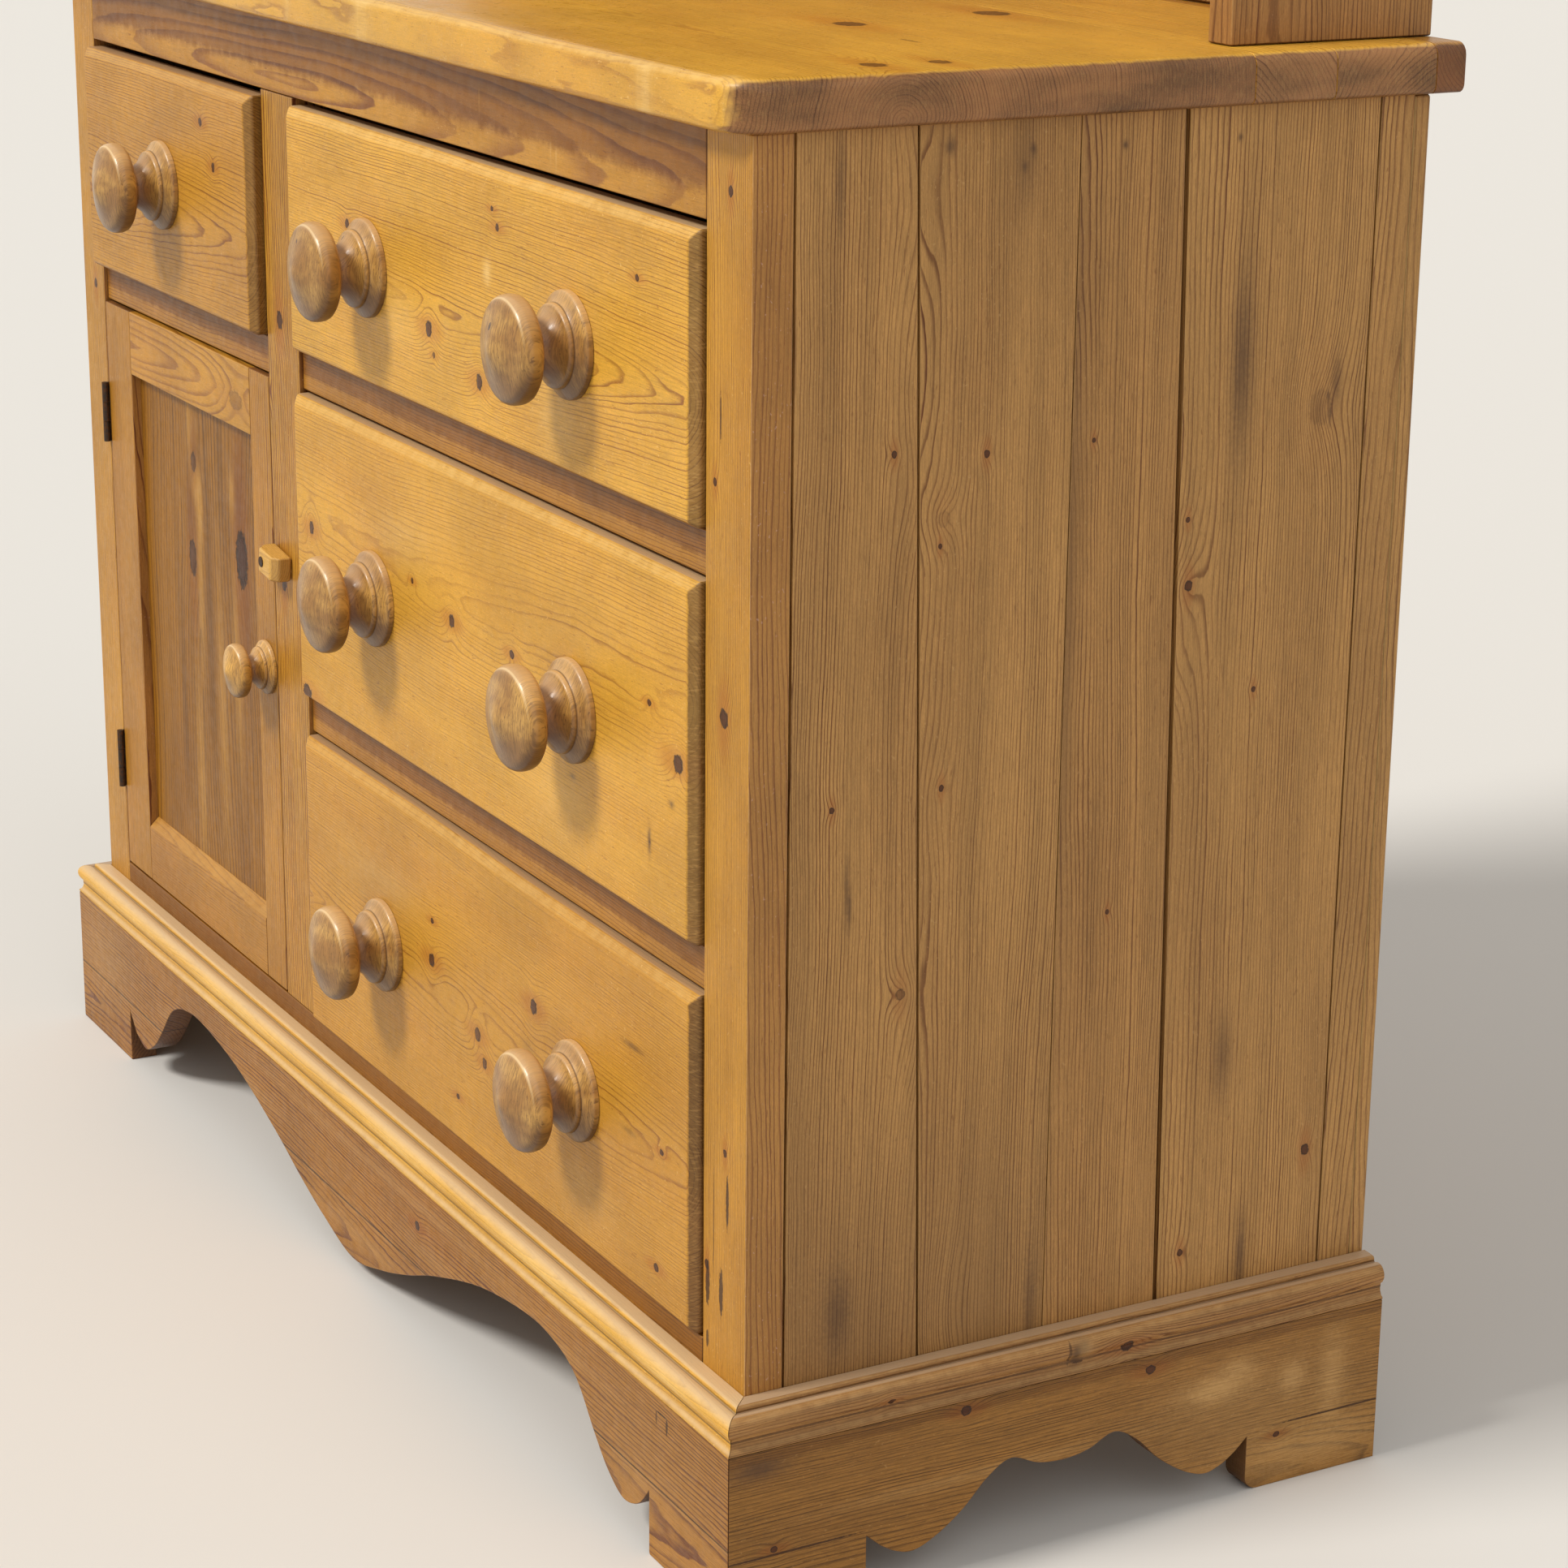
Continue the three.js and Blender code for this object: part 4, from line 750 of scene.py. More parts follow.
# Under a lip: a thin painted shadow along the lower edge, dust on the flat top, and ends darkened by end_shade, as dark
# end grain and painted shade both
UNDER_A_LIP = {"shadow_low_edge": (2.5, 0.4), "dust": 0.75, "end_shade": 0.45}
DRAWERS = {
    "small_drawer": {"pith": (-20, -50), "seed": 31.0, "ring": 1.9, "shade": 0.855, "ends": 0.65, **UNDER_A_LIP,
                     "knots": [(79, 53, 3.2, 1, 1), (101, 25, 3.2, 1, 0.9)]},
    "upper_drawer": {"pith": (-14, -30), "seed": 32.0, "ring": 1.8, "slant": 0.04, "shade": 0.97, "ends": 0.78,
                     "contrast": 0.95, **UNDER_A_LIP,
                     "knots": [(-182, 18, 3.2, 1, 1), (-57, -28, 5, 1, 0.9), (44, 47, 2.2), (16, -48, 5, 1, 0.8),
                               (223, 45, 1.9), (-50, -43, 2, 0.8, 1), (37, 57, 1.6)],
                     "lights": [(29, 19, 5, 7, 0.8), (-110, -20, 30, 26, 0.3), (120, -50, 26, 22, 0.35),
                                (150, 10, 40, 14, 0.25)]},
    "middle_drawer": {"pith": (30, -60), "seed": 33.0, "ring": 1.6, "slant": -0.015, "shade": 0.945, "ends": 0.78,
                      "contrast": 0.65, **UNDER_A_LIP,
                      "knots": [(-256, 19, 4.6, 1, 0.8), (-90, 20, 2, 1, 1), (-30, 8, 4.2, 1, 0.9), (57, 8, 2.8),
                                (237, 24, 2), (272, -2, 5.5, 1, 1), (-272, -98, 6)],
                      "lights": [(-100, 40, 60, 20, 0.25), (120, -60, 50, 30, 0.3)],
                      "stains": [(237, -56, 2.0, 8, 0.95), (139, -45, 4, 1.6, 0.8), (264, -27, 3, 2, 0.8)]},
    "lower_drawer": {"pith": (-10, -44), "seed": 34.0, "ring": 1.7, "slant": 0.03, "shade": 0.88, **UNDER_A_LIP,
                     "contrast": 0.75,
                     "knots": [(-73, 9, 4.6, 1, 0.9), (-71, 36, 1.9), (80, 28, 5.2, 1, 0.8), (-3, -18, 4.6, 0.9, 0.9),
                               (7, -34, 4, 0.9, 0.8), (-35, -71, 2), (243, -78, 2.6), (250, -4, 2)],
                     "lights": [(150, -70, 40, 20, 0.3), (-160, 40, 60, 16, 0.25)],
                     "stains": [(214, 48, 12, 2, 0.75), (209, -6, 9, 2, 0.5), (71, -1, 10, 6, 0.3)]},
}


def chamfer_face(board, direction, width, depth):
    """Draws a smaller face inside the one that faces a direction, and pushes it out."""
    select_parts(board, "FACE", lambda face: face.normal.dot(Vector(direction)) > 0.9)
    bpy.ops.mesh.inset(thickness=width, depth=depth)
    bpy.ops.object.mode_set(mode="OBJECT")


def lower_front_edge(board, drop):
    """Moves the lower edge of the front face down, which makes the chamfer under it steeper."""
    front = min(vertex.co.y for vertex in board.data.vertices)
    centre = sum(vertex.co.z for vertex in board.data.vertices) / len(board.data.vertices)
    select_parts(board, "VERT", lambda vertex: vertex.co.y < front + near and vertex.co.z < centre)
    bpy.ops.transform.translate(value=(0, 0, -drop))
    bpy.ops.object.mode_set(mode="OBJECT")


for drawer, facts in DRAWERS.items():
    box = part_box(drawer + "_front")
    low, high = Vector(box[0]), Vector(box[1])
    board = start_board(drawer + "_face", low + Vector((0, CHAMFER_DEPTH, 0)), high)
    chamfer_face(board, (0, -1, 0), CHAMFER_WIDTH, CHAMFER_DEPTH)
    lower_front_edge(board, CHAMFER_WIDTH - LOWER_CHAMFER_WIDTH)
    ease(board, DRAWER_ARRIS, steps=3)
    dress(board, drawer, pine(drawer + " pine", box, "x", "z", **facts), "front_pine", drawer + "_front")
print("drawer fronts:", len(DRAWERS))

# %% [markdown]
# ## Drawer boxes and the inside
# The boxes, the boards that carry them, the partition and the floor of the cupboard are sawn pine that never saw
# wax. Their shapes in the model are right, so they stay, and each gets bare pine with the grain the way it runs.

# %% Finish the inside
INSIDE = {
    "case_bottom": ("x", "y"), "partition": ("z", "y"), "runner_shelf_left": ("x", "y"),
    "runner_shelf_upper": ("x", "y"), "runner_shelf_lower": ("x", "y"),
}
for drawer in DRAWERS:
    INSIDE[drawer + "_box"] = ("y", "z")
    INSIDE[drawer + "_bottom"] = ("x", "y")
for number, (node, (grain, width)) in enumerate(INSIDE.items()):
    material = pine(node + " pine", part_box(node), grain, width, tone="inside", seed=40.0 + number,
                    pith=(40 - 7 * number, -50), ring=2.6, gloss=0.62)
    coat_with(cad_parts[node], material)
print("inside pieces:", len(INSIDE))

# %% [markdown]
# ## Outlines
# The plinth, its moulding, the turn button, the frieze and the shelves are each one outline carried along a
# straight line. The outline is drawn as by hand: one corner is extruded from point to point like a pen, the ring is
# closed with a face, and that face is extruded. A scroll is a few points with a smooth curve led through them.

# %% Helpers for outlines
def smooth_line(points, steps=6):
    """Leads a curve through points: each stretch looks at the point before it and the one after it."""
    line = []
    for index in range(len(points) - 1):
        before = points[max(index - 1, 0)]
        start, end = points[index], points[index + 1]
        after = points[min(index + 2, len(points) - 1)]
        for step in range(steps):
            t = step / steps
            line.append(tuple(
                0.5 * (2 * b + (c - a) * t + (2 * a - 5 * b + 4 * c - d) * t * t + (3 * b - a - 3 * c + d) * t ** 3)
                for a, b, c, d in zip(before, start, end, after)))
    return line + [points[-1]]


def draw_outline(name, points, travel):
    """Draws a closed outline of 3-D points and carries it along a vector."""
    bpy.ops.object.select_all(action="DESELECT")
    bpy.ops.mesh.primitive_plane_add(size=1)
    piece = bpy.context.object
    piece.name = name
    bpy.ops.object.mode_set(mode="EDIT")
    bpy.ops.mesh.select_mode(type="VERT")
    bpy.ops.mesh.select_all(action="SELECT")
    bpy.ops.mesh.merge(type="CENTER")
    bpy.ops.transform.translate(value=points[0])
    for start, end in zip(points, points[1:]):
        step = [b - a for a, b in zip(start, end)]
        bpy.ops.mesh.extrude_region_move(TRANSFORM_OT_translate={"value": step})
    bpy.ops.mesh.select_all(action="SELECT")
    bpy.ops.mesh.edge_face_add()
    bpy.ops.mesh.extrude_region_move(TRANSFORM_OT_translate={"value": travel})
    bpy.ops.mesh.select_all(action="SELECT")
    bpy.ops.mesh.normals_make_consistent(inside=False)
    bpy.ops.object.mode_set(mode="OBJECT")
    return piece


def scroll(left, right, shares, height, foot=0.0):
    """The lower edge of an apron: the shares are given for its right half and mirrored for its left."""
    middle, half = (left + right) / 2, (right - left) / 2
    right_half = [(middle + across * half, foot + up * height) for across, up in shares]
    left_half = [(middle - across * half, foot + up * height) for across, up in shares[1:]]
    return left_half[::-1] + right_half


print("a curve through 3 points has", len(smooth_line([(0, 0), (1, 1), (2, 0)])), "points")

# %% [markdown]
# ## The plinth
# Three boards stand round the foot of the case, mitred at the front corners. Their lower edges are sawn to a
# scroll between block feet, with a notch where the scroll meets the foot. The board at the front is long and
# shallow, so its scroll is drawn out, and the side has a pair of little arches that meet in a dip. After the
# outline is extruded, bisect cuts the mitres.

# %% Build the plinth
FRONT_SCROLL = [
    (0, 0.09), (0.11, 0.19), (0.21, 0.327), (0.315, 0.498), (0.47, 0.697), (0.62, 0.796), (0.71, 0.787),
    (0.78, 0.687), (0.84, 0.431), (0.88, 0.28), (0.925, 0.194), (0.97, 0.25),
]
SIDE_SCROLL = [
    (0, 0.498), (0.136, 0.521), (0.27, 0.588), (0.39, 0.507), (0.515, 0.351),
    (0.65, 0.232), (0.765, 0.178), (0.855, 0.204), (0.93, 0.261),
]
FRONT_FEET = (112 * MM, 98 * MM)
SIDE_FEET = (89.5 * MM, 97 * MM)
FRONT_NOTCH = 0.384
SIDE_NOTCH = 0.34
FRONT_KICK = 2 * MM
SIDE_KICK = 9 * MM
PLINTH_ARRIS = 1.0 * MM
MITRE_GAP = 0.15 * MM
QUARTER_TURN = [math.radians(15 * step) for step in range(7)]


def apron_outline(left, right, feet, shares, notch, height, kicked):
    """The outline of an apron board as pairs: the way along it and the height. Kicked rounds the second foot."""
    start, end = left + feet[0], right - feet[1]
    line = smooth_line(scroll(start, end, shares, height) + [(end, notch * height)])
    corner = [(end + kicked * (1 - math.cos(a)), kicked * (1 - math.sin(a))) for a in QUARTER_TURN]
    return ([(left, 0.0), (start, 0.0), (start, notch * height)] + line + corner
            + [(right, 0.0), (right, height), (left, height)])


plinth_low, plinth_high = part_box("plinth_front")
side_plinth_low, side_plinth_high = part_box("plinth_right")
height = plinth_high[2]
outer = side_plinth_high[0]
thickness = plinth_high[1] - plinth_low[1]
outline = apron_outline(-outer, outer, FRONT_FEET, FRONT_SCROLL, FRONT_NOTCH, height, FRONT_KICK)
apron = draw_outline("plinth_front_board", [(x, plinth_low[1], z) for x, z in outline], (0, thickness, 0))
for side in (-1, 1):
    cut(apron, (side * (outer - MITRE_GAP), plinth_low[1], 0), (side, 1, 0))
ease(apron, PLINTH_ARRIS)
dress(apron, "carcass", pine("plinth front pine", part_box("plinth_front"), "x", "z", pith=(-30, -36), seed=51.0,
                             ring=2.4, shade=0.735, contrast=1.7, sharp=1.8,
                             knots=[(-300, 20, 3), (120, 25, 3)],
                             cracks=[(0, -4.8, 3000, 0.7, 0.75), (469, 44, 7, 0.8, 0.75), (476, 39, 1.4, 6, 0.75),
                                     (463, 40, 1.2, 5, 0.6)],
                             lights=[(0, -6.4, 3000, 0.8, 0.4), (-500, 20, 60, 40, 0.5), (60, 40, 220, 4, 0.4),
                                     (-330, 10, 40, 9, 0.4), (20, -22, 90, 6, 0.45), (150, 10, 60, 7, 0.35),
                                     (320, 30, 80, 5, 0.4), (440, -10, 30, 9, 0.3), (-180, 16, 70, 5, 0.35),
                                     # The last light, a broad pale patch towards the right end, is a painted pool of
                                     # light
                                     (440, 0, 110, 50, 0.3)]),
      "front_pine", "plinth_front")

outline = apron_outline(side_plinth_low[1], side_plinth_high[1], SIDE_FEET, SIDE_SCROLL, SIDE_NOTCH, height,
                        SIDE_KICK)
for node, side in (("plinth_left", -1), ("plinth_right", 1)):
    inner = side * (outer - thickness)
    board = draw_outline(node + "_board", [(inner, y, z) for y, z in outline], (side * thickness, 0, 0))
    cut(board, (side * outer, side_plinth_low[1] + MITRE_GAP, 0), (side, 1, 0), keep="outer")
    ease(board, PLINTH_ARRIS)
    material = pine(node + " pine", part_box(node), "y", "z", tone="foot", pith=(-50, -50), seed=52.0 + side,
                    ring=1.6, contrast=1.2, knots=[(-71, 47, 3), (56, 44, 3), (150, -20, 2), (-196, -10, 2)],
                    stains=[(-206, 42, 20, 7, 0.9)],
                    cracks=[(-190, -13.3, 56, 0.8, 0.85), (200, -13.3, 56, 0.8, 0.85)],
                    lights=[(104, 20, 24, 9, 0.9), (120, 30, 12, 7, 0.7), (160, 16, 9, 10, 0.8), (190, 10, 10, 30, 0.6),
                            (176, -34, 60, 16, 0.55), (-60, 5, 90, 4, 0.3), (130, 0, 90, 40, 0.3)], gloss=0.46,
                    # A painted shadow runs along the upper edge, under the moulding
                    shadow_high_edge=(8, 0.45))
    dress(board, "carcass", material, "side_pine", node)
print("plinth height", round(height / MM, 1), "mm")

# %% [markdown]
# ## The moulding on the plinth
# A strip of moulding covers the joint between the plinth and the case: a flat fillet that holds the dust, a
# narrow groove, a fat half round, and a small hollow under it. The section is written as pairs of the way out
# from the case and the height, drawn at one end and carried along, and the strips are mitred like the plinth.

# %% Build the moulding
MOULDING = [(0, 25), (7.5, 24.7), (9.4, 24.3), (9.9, 23.5), (10.3, 21.4), (10.9, 21.3)]
BEAD_CENTRE, BEAD_RADII = (14.6, 15.6), (6.2, 6.6)
BEAD_ANGLES = [math.radians(122 - 18.2 * step) for step in range(11)]
MOULDING += [(BEAD_CENTRE[0] + BEAD_RADII[0] * math.cos(a), BEAD_CENTRE[1] + BEAD_RADII[1] * math.sin(a))
             for a in BEAD_ANGLES]
MOULDING += [(17.6, 8.0), (17.4, 6.6), (17.8, 4.6), (18.8, 2.6), (20.4, 1.2), (20.4, 0.4), (0, 0.4)]
MOULDING_DROP = 0.3 * MM
MOULDING_STANDOFF = 0.2 * MM
MOULDING_ARRIS = 0.35 * MM
# Rounds only the sharp edges of a moulded section, and leaves its curves alone
SHARP_ONLY = {"steps": 1, "angle": 50}
moulding_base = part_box("moulding_front")[0][2] - MOULDING_DROP
half_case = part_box("stile_right")[1][0]
side_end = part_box("moulding_right")[1][1]
strip_facts = {"pith": (90, -90), "ring": 1.3, "dust": 0.75, "gloss": 0.4}
# Painted shade in the moulding's grooves: a dark line in the groove above the bead and one in the quirk under it. The
# band below darkens a soft strip in the hollow at the foot.
strip_groove_shade = [(0, 8.8, 3000, 1.0, 0.45, 0, 1.6), (0, -4.9, 3000, 0.8, 0.6)]
strip_hollow_band = [(0, -9.0, 3000, 3.0, 0.3)]
points = [(-outer, case_front - MOULDING_STANDOFF - out * MM, moulding_base + up * MM) for out, up in MOULDING]
strip = draw_outline("moulding_front_strip", points, (2 * outer, 0, 0))
for side in (-1, 1):
    cut(strip, (side * (half_case - MITRE_GAP), case_front, 0), (side, 1, 0))
ease(strip, MOULDING_ARRIS, **SHARP_ONLY)
# On the front strip the dust reaches over the top of the bead, as dust and painted highlight both, and the lights along
# the bead are a painted highlight
dress(strip, "carcass", pine("moulding front pine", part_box("moulding_front"), "x", "z", seed=61.0,
                             shade=0.99, contrast=0.5, dust_from=0.1, stains=strip_hollow_band, cracks=strip_groove_shade,
                             lights=[(300, 3, 60, 5, 0.6), (-200, 3, 90, 5, 0.5), (90, 3, 50, 5, 0.5),
                                     (470, 3, 40, 5, 0.6), (-420, 3, 70, 5, 0.4)],
                             **strip_facts),
      "front_pine", "moulding_front")
for node, side in (("moulding_left", -1), ("moulding_right", 1)):
    start = case_front - outer + half_case
    points = [(side * (half_case + MOULDING_STANDOFF + out * MM), start, moulding_base + up * MM)
              for out, up in MOULDING]
    strip = draw_outline(node + "_strip", points, (0, side_end - start, 0))
    cut(strip, (side * half_case, case_front + MITRE_GAP, 0), (side, 1, 0), keep="outer")
    ease(strip, MOULDING_ARRIS, **SHARP_ONLY)
    material = pine(node + " pine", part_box(node), "y", "z", tone="side", seed=62.0 + side, shade=0.92, contrast=1.1,
                    stains=strip_hollow_band + [(4, 0, 4, 9, 1.0), (9, 4, 3, 5, 0.9), (-150, 6, 60, 2, 0.5),
                                           (120, 6, 60, 2, 0.4)],
                    cracks=strip_groove_shade + [(-1, 1, 1.2, 8, 0.6), (6, -6, 4, 1.2, 0.7)],
                    knots=[(40, -3, 3.6, 1, 1.3), (-120, -2, 2)],
                    lights=[(10, 3, 6, 6, 0.5)], **strip_facts)
    dress(strip, "carcass", material, "side_pine", node)
print("the moulding's section has", len(MOULDING), "points")

# %% [markdown]
# ## Turned knobs
# The knobs were turned on a lathe: a stepped base flange, a hollow sweep up to a thin neck, and a flattened,
# domed cap. In Blender the lathe is a circle that is extruded step by step and resized at each one, which leaves
# clean rings of faces. Every knob is turned anew, to the size of the one that it replaces, and its wood has a
# seed of its own, so that no two of them match.

# %% Turn one knob
KNOB_SECTION = [
    (1.0, 0.0), (1.0, 0.05), (0.99, 0.07), (0.965, 0.085), (0.91, 0.105), (0.85, 0.13), (0.8, 0.155), (0.785, 0.165),
    (0.782, 0.19), (0.775, 0.215), (0.755, 0.232), (0.725, 0.24), (0.69, 0.252), (0.62, 0.285), (0.555, 0.325),
    (0.5, 0.37), (0.46, 0.415), (0.44, 0.46), (0.45, 0.495), (0.52, 0.517), (0.66, 0.535), (0.8, 0.552),
    (0.91, 0.572), (0.965, 0.6), (0.99, 0.635), (1.0, 0.68), (1.0, 0.725), (0.986, 0.768), (0.957, 0.803),
    (0.917, 0.828), (0.872, 0.843), (0.8, 0.858), (0.69, 0.878), (0.56, 0.904), (0.42, 0.934), (0.28, 0.961),
    (0.14, 0.984), (0.05, 0.996),
]
KNOB_STEPS = 72
KNOB_SMOOTH_ANGLE = 38


def turn_knob(name, box):
    low, high = Vector(box[0]), Vector(box[1])
    radius = (high.x - low.x) / 2
    length = high.y - low.y
    centre = (low + high) / 2
    bpy.ops.object.select_all(action="DESELECT")
    bpy.ops.mesh.primitive_circle_add(vertices=KNOB_STEPS, radius=radius, fill_type="NGON",
                                      location=(centre.x, high.y, centre.z), rotation=(math.pi / 2, 0, 0))
    knob = bpy.context.object
    knob.name = name
    bpy.ops.object.transform_apply(location=True, rotation=True, scale=True)
    bpy.ops.object.mode_set(mode="EDIT")
    bpy.ops.mesh.select_all(action="SELECT")
    for (wide, start), (next_wide, end) in zip(KNOB_SECTION, KNOB_SECTION[1:]):
        bpy.ops.mesh.extrude_region_move(TRANSFORM_OT_translate={"value": (0, (start - end) * length, 0)})
        grow = next_wide / wide
        middle = (centre.x, high.y - end * length, centre.z)
        bpy.ops.transform.resize(value=(grow, 1, grow), center_override=middle)
    bpy.ops.mesh.select_all(action="SELECT")
    bpy.ops.mesh.normals_make_consistent(inside=False)
    bpy.ops.object.mode_set(mode="OBJECT")
    bpy.ops.object.shade_smooth_by_angle(angle=math.radians(KNOB_SMOOTH_ANGLE))
    return knob


print("a knob has", KNOB_STEPS * (len(KNOB_SECTION) - 1), "faces round it")

# %% [markdown]
# The knobs are duller than the drawers, because hands have rubbed the wax off and left grease in the grain. Their
# finish is short dark flecks on tan wood, with pale dust and painted light where it faces up, painted shade
# underneath and round the neck, a painted shadow line at the step on the flange and a painted highlight along the
# upper edge of the cap.

# %% Fit the knobs
def knob_finish(name, box, seed, specks, pale, brown):
    material, tree = start_material(name)
    texture = add(tree, "ShaderNodeTexCoord").outputs
    radius = (box[1][0] - box[0][0]) / 2 / MM
    length = (box[1][1] - box[0][1]) / MM
    point = from_middle(tree, texture["Object"], box)
    parts = add(tree, "ShaderNodeSeparateXYZ", {0: point}).outputs
    out = sum_of(tree, "DIVIDE", sum_of(tree, "SQRT", squares_of(tree, parts[0], parts[2])), radius)
    along = minus(tree, 0.5, sum_of(tree, "DIVIDE", parts[1], length))
    slow = stretched_noise(tree, point, (26, 40, 14), seed, detail=2)
    fibre = stretched_noise(tree, point, (0.6, 14, 7), seed + 2, detail=3, roughness=0.6)
    fleck = ramp(tree, stretched_noise(tree, point, (0.7, 5, 2.6), seed + 4, detail=1), 0.6, 0.7)
    colour = blend(tree, ramp(tree, slow, 0.35, 0.65), pale, brown)
    colour = blend(tree, ramp(tree, fibre, 0.4, 0.62, 0.0, 0.6), colour, paint(112, 80, 42))
    colour = blend(tree, times(tree, fleck, 0.6), colour, paint(92, 60, 32))
    normal = add(tree, "ShaderNodeSeparateXYZ", {0: texture["Normal"]}).outputs
    # Faces that turn up are paler: dust, and painted light from above
    dust_and_top_light = ramp(tree, normal[2], 0.25, 0.9, 0.0, 0.6)
    colour = blend(tree, dust_and_top_light, colour, paint(224, 184, 132))
    # Faces that turn down are darker: painted shade
    underside_shade = ramp(tree, normal[2], -0.7, 0.25, 0.85, 0.0)
    colour = blend(tree, underside_shade, colour, paint(80, 54, 30))
    # The hollow round the neck is darker: painted shade
    neck = times(tree, ramp(tree, out, 0.4, 0.75, 1.0, 0.0), ramp(tree, along, 0.56, 0.6, 1.0, 0.0))
    colour = blend(tree, times(tree, neck, 0.4), colour, paint(112, 64, 34))
    # A painted shadow line at the step on the flange
    turned = band(tree, along, 0.155, 0.165, 0.175, 0.185)
    colour = blend(tree, times(tree, turned, 0.6), colour, paint(70, 42, 24))
    # A painted highlight along the upper edge of the cap
    rim_highlight = band(tree, along, 0.8, 0.812, 0.82, 0.832)
    rim_highlight = times(tree, rim_highlight, ramp(tree, normal[2], 0.0, 0.8, 0.0, 0.55))
    colour = blend(tree, rim_highlight, colour, paint(244, 216, 164))
    flat = add(tree, "ShaderNodeCombineXYZ", {0: parts[0], 1: parts[2]}).outputs[0]
    for across, up, size in specks:
        spot = mark(tree, flat, (across, up), size, size * 1.5)["Core"]
        spot = times(tree, spot, ramp(tree, normal[1], -0.6, -0.3, 0.85, 0.0))
        colour = blend(tree, spot, colour, paint(50, 40, 40))
    rough = ramp(tree, fibre, 0.3, 0.7, 0.32, 0.46, "LINEAR")
    close_material(tree, colour, rough, (fibre, 0.35, 0.2 * MM), {
        "Specular IOR Level": 0.4, "Coat Weight": 0.25, "Coat Roughness": 0.16})
    return material


KNOB_TONES = {"drawer": (paint(204, 157, 82), paint(163, 116, 57)), "door": (paint(234, 180, 86), paint(200, 148, 68))}
KNOB_SPECKS = {"upper_drawer_knob_right": [(-5, 13, 1.7)], "upper_drawer_knob_left": [(-4, 19, 0.9)],
               "lower_drawer_knob_right": [(-6, -14, 1.2)]}
KNOBS = {
    "small_drawer_knob": "small_drawer", "upper_drawer_knob_left": "upper_drawer",
    "upper_drawer_knob_right": "upper_drawer", "middle_drawer_knob_left": "middle_drawer",
    "middle_drawer_knob_right": "middle_drawer", "lower_drawer_knob_left": "lower_drawer",
    "lower_drawer_knob_right": "lower_drawer", "door_knob": "door",
}
for number, (node, body) in enumerate(KNOBS.items()):
    knob = turn_knob(node + "_turned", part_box(node))
    pale, brown = KNOB_TONES["door" if body == "door" else "drawer"]
    finish = knob_finish(node + " wood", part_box(node), 70.0 + number, KNOB_SPECKS.get(node, []), pale, brown)
    dress(knob, body, finish, "knob_pine", node)
print("knobs fitted:", len(KNOBS))

# %% [markdown]
# ## The cupboard door
# The door is a frame of two stiles and two rails round a flat panel that sits back from its face. The lower rail
# has a sloping ledge on its upper edge that throws off dust and catches the light. The panel's grain runs upright
# and holds the darkest knots of the front.

# %% Build the door
DOOR_LEDGE = 7 * MM
DOOR_ARRIS = 0.9 * MM
DOOR = {
    "door_hinge_stile": ("z", "x", {"pith": (-60, -30), "seed": 81.0, "shade": 0.81, "contrast": 1.3}),
    "door_lock_stile": ("z", "x", {"pith": (30, -20), "seed": 82.0, "ring": 3.0, "shade": 0.81, "contrast": 1.3,
                                   "knots": [(90, -2, 2.5)]}),
    "door_top_rail": ("x", "z", {"pith": (0, -22), "seed": 83.0, "ring": 4.0, "slant": 0.05, "shade": 0.86,
                                 "contrast": 0.8, "sharp": 1.2, "knots": [(95, -4, 7, 0.35, 1.8)]}),
    "door_bottom_rail": ("x", "z", {"pith": (30, -30), "seed": 84.0, "shade": 0.79}),
    # The panel carries a painted shadow along the high edge of its width, the right-hand one
    "door_panel": ("z", "x", {"tone": "panel", "pith": (-10, -9), "seed": 85.0, "ring": 5.5, "slant": 0.05,
                              "wander": 60, "shade": 0.785, "shadow_high_edge": (30, 0.3),
                              "knots": [(126, -14, 5, 0.7, 1.5), (74, 78, 11, 1, 1.9), (54, -22, 7, 0.8, 2)],
                              "stains": [(112, 74, 26, 8, 0.6), (20, 84, 50, 5, 0.4), (90, -24, 26, 6, 0.45),
                                         (20, 10, 120, 7, 0.35), (-60, -50, 90, 6, 0.35), (130, 40, 60, 6, 0.3)],
                              "lights": [(108, -10, 14, 8, 1.0), (88, -4, 20, 4, 0.8), (152, -20, 22, 6, 0.6),
                                         (118, 62, 16, 6, 0.8), (30, -8, 50, 6, 0.6), (-40, 30, 90, 8, 0.5),
                                         (-110, -20, 80, 8, 0.5), (0, 62, 70, 6, 0.6)]}),
}
for node, (grain, width, facts) in DOOR.items():
    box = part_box(node)
    board = start_board(node + "_board", *box)
    if node == "door_bottom_rail":
        select_edges(board, lambda a, b: min(a.z, b.z) > box[1][2] - near and max(a.y, b.y) < box[0][1] + near)
        bpy.ops.mesh.bevel(offset=DOOR_LEDGE, segments=1, affect="EDGES")
        bpy.ops.object.mode_set(mode="OBJECT")
    ease(board, DOOR_ARRIS)
    dress(board, "door", pine(node + " pine", box, grain, width, **facts), "front_pine", node)
print("door pieces:", len(DOOR))

# %% [markdown]
# ## The turn button
# A scrap of pine on one screw keeps the door shut. Its ends are sawn to a slope and its corners have worn round.
# The round head of the screw is let into it. The block is drawn in plan, tilted as it hangs, and extruded.

# %% Build the turn button
BUTTON_PIVOT = Vector((-140.5 * MM, case_front - 0.3 * MM, 464 * MM))
BUTTON_TILT = math.radians(8)
BUTTON_ENDS = (-10 * MM, 20.5 * MM)
BUTTON_HALF_HEIGHT = 8.7 * MM
BUTTON_DEPTH = 14 * MM
BUTTON_BEVEL = 5 * MM
BUTTON_ARRIS = 1.8 * MM

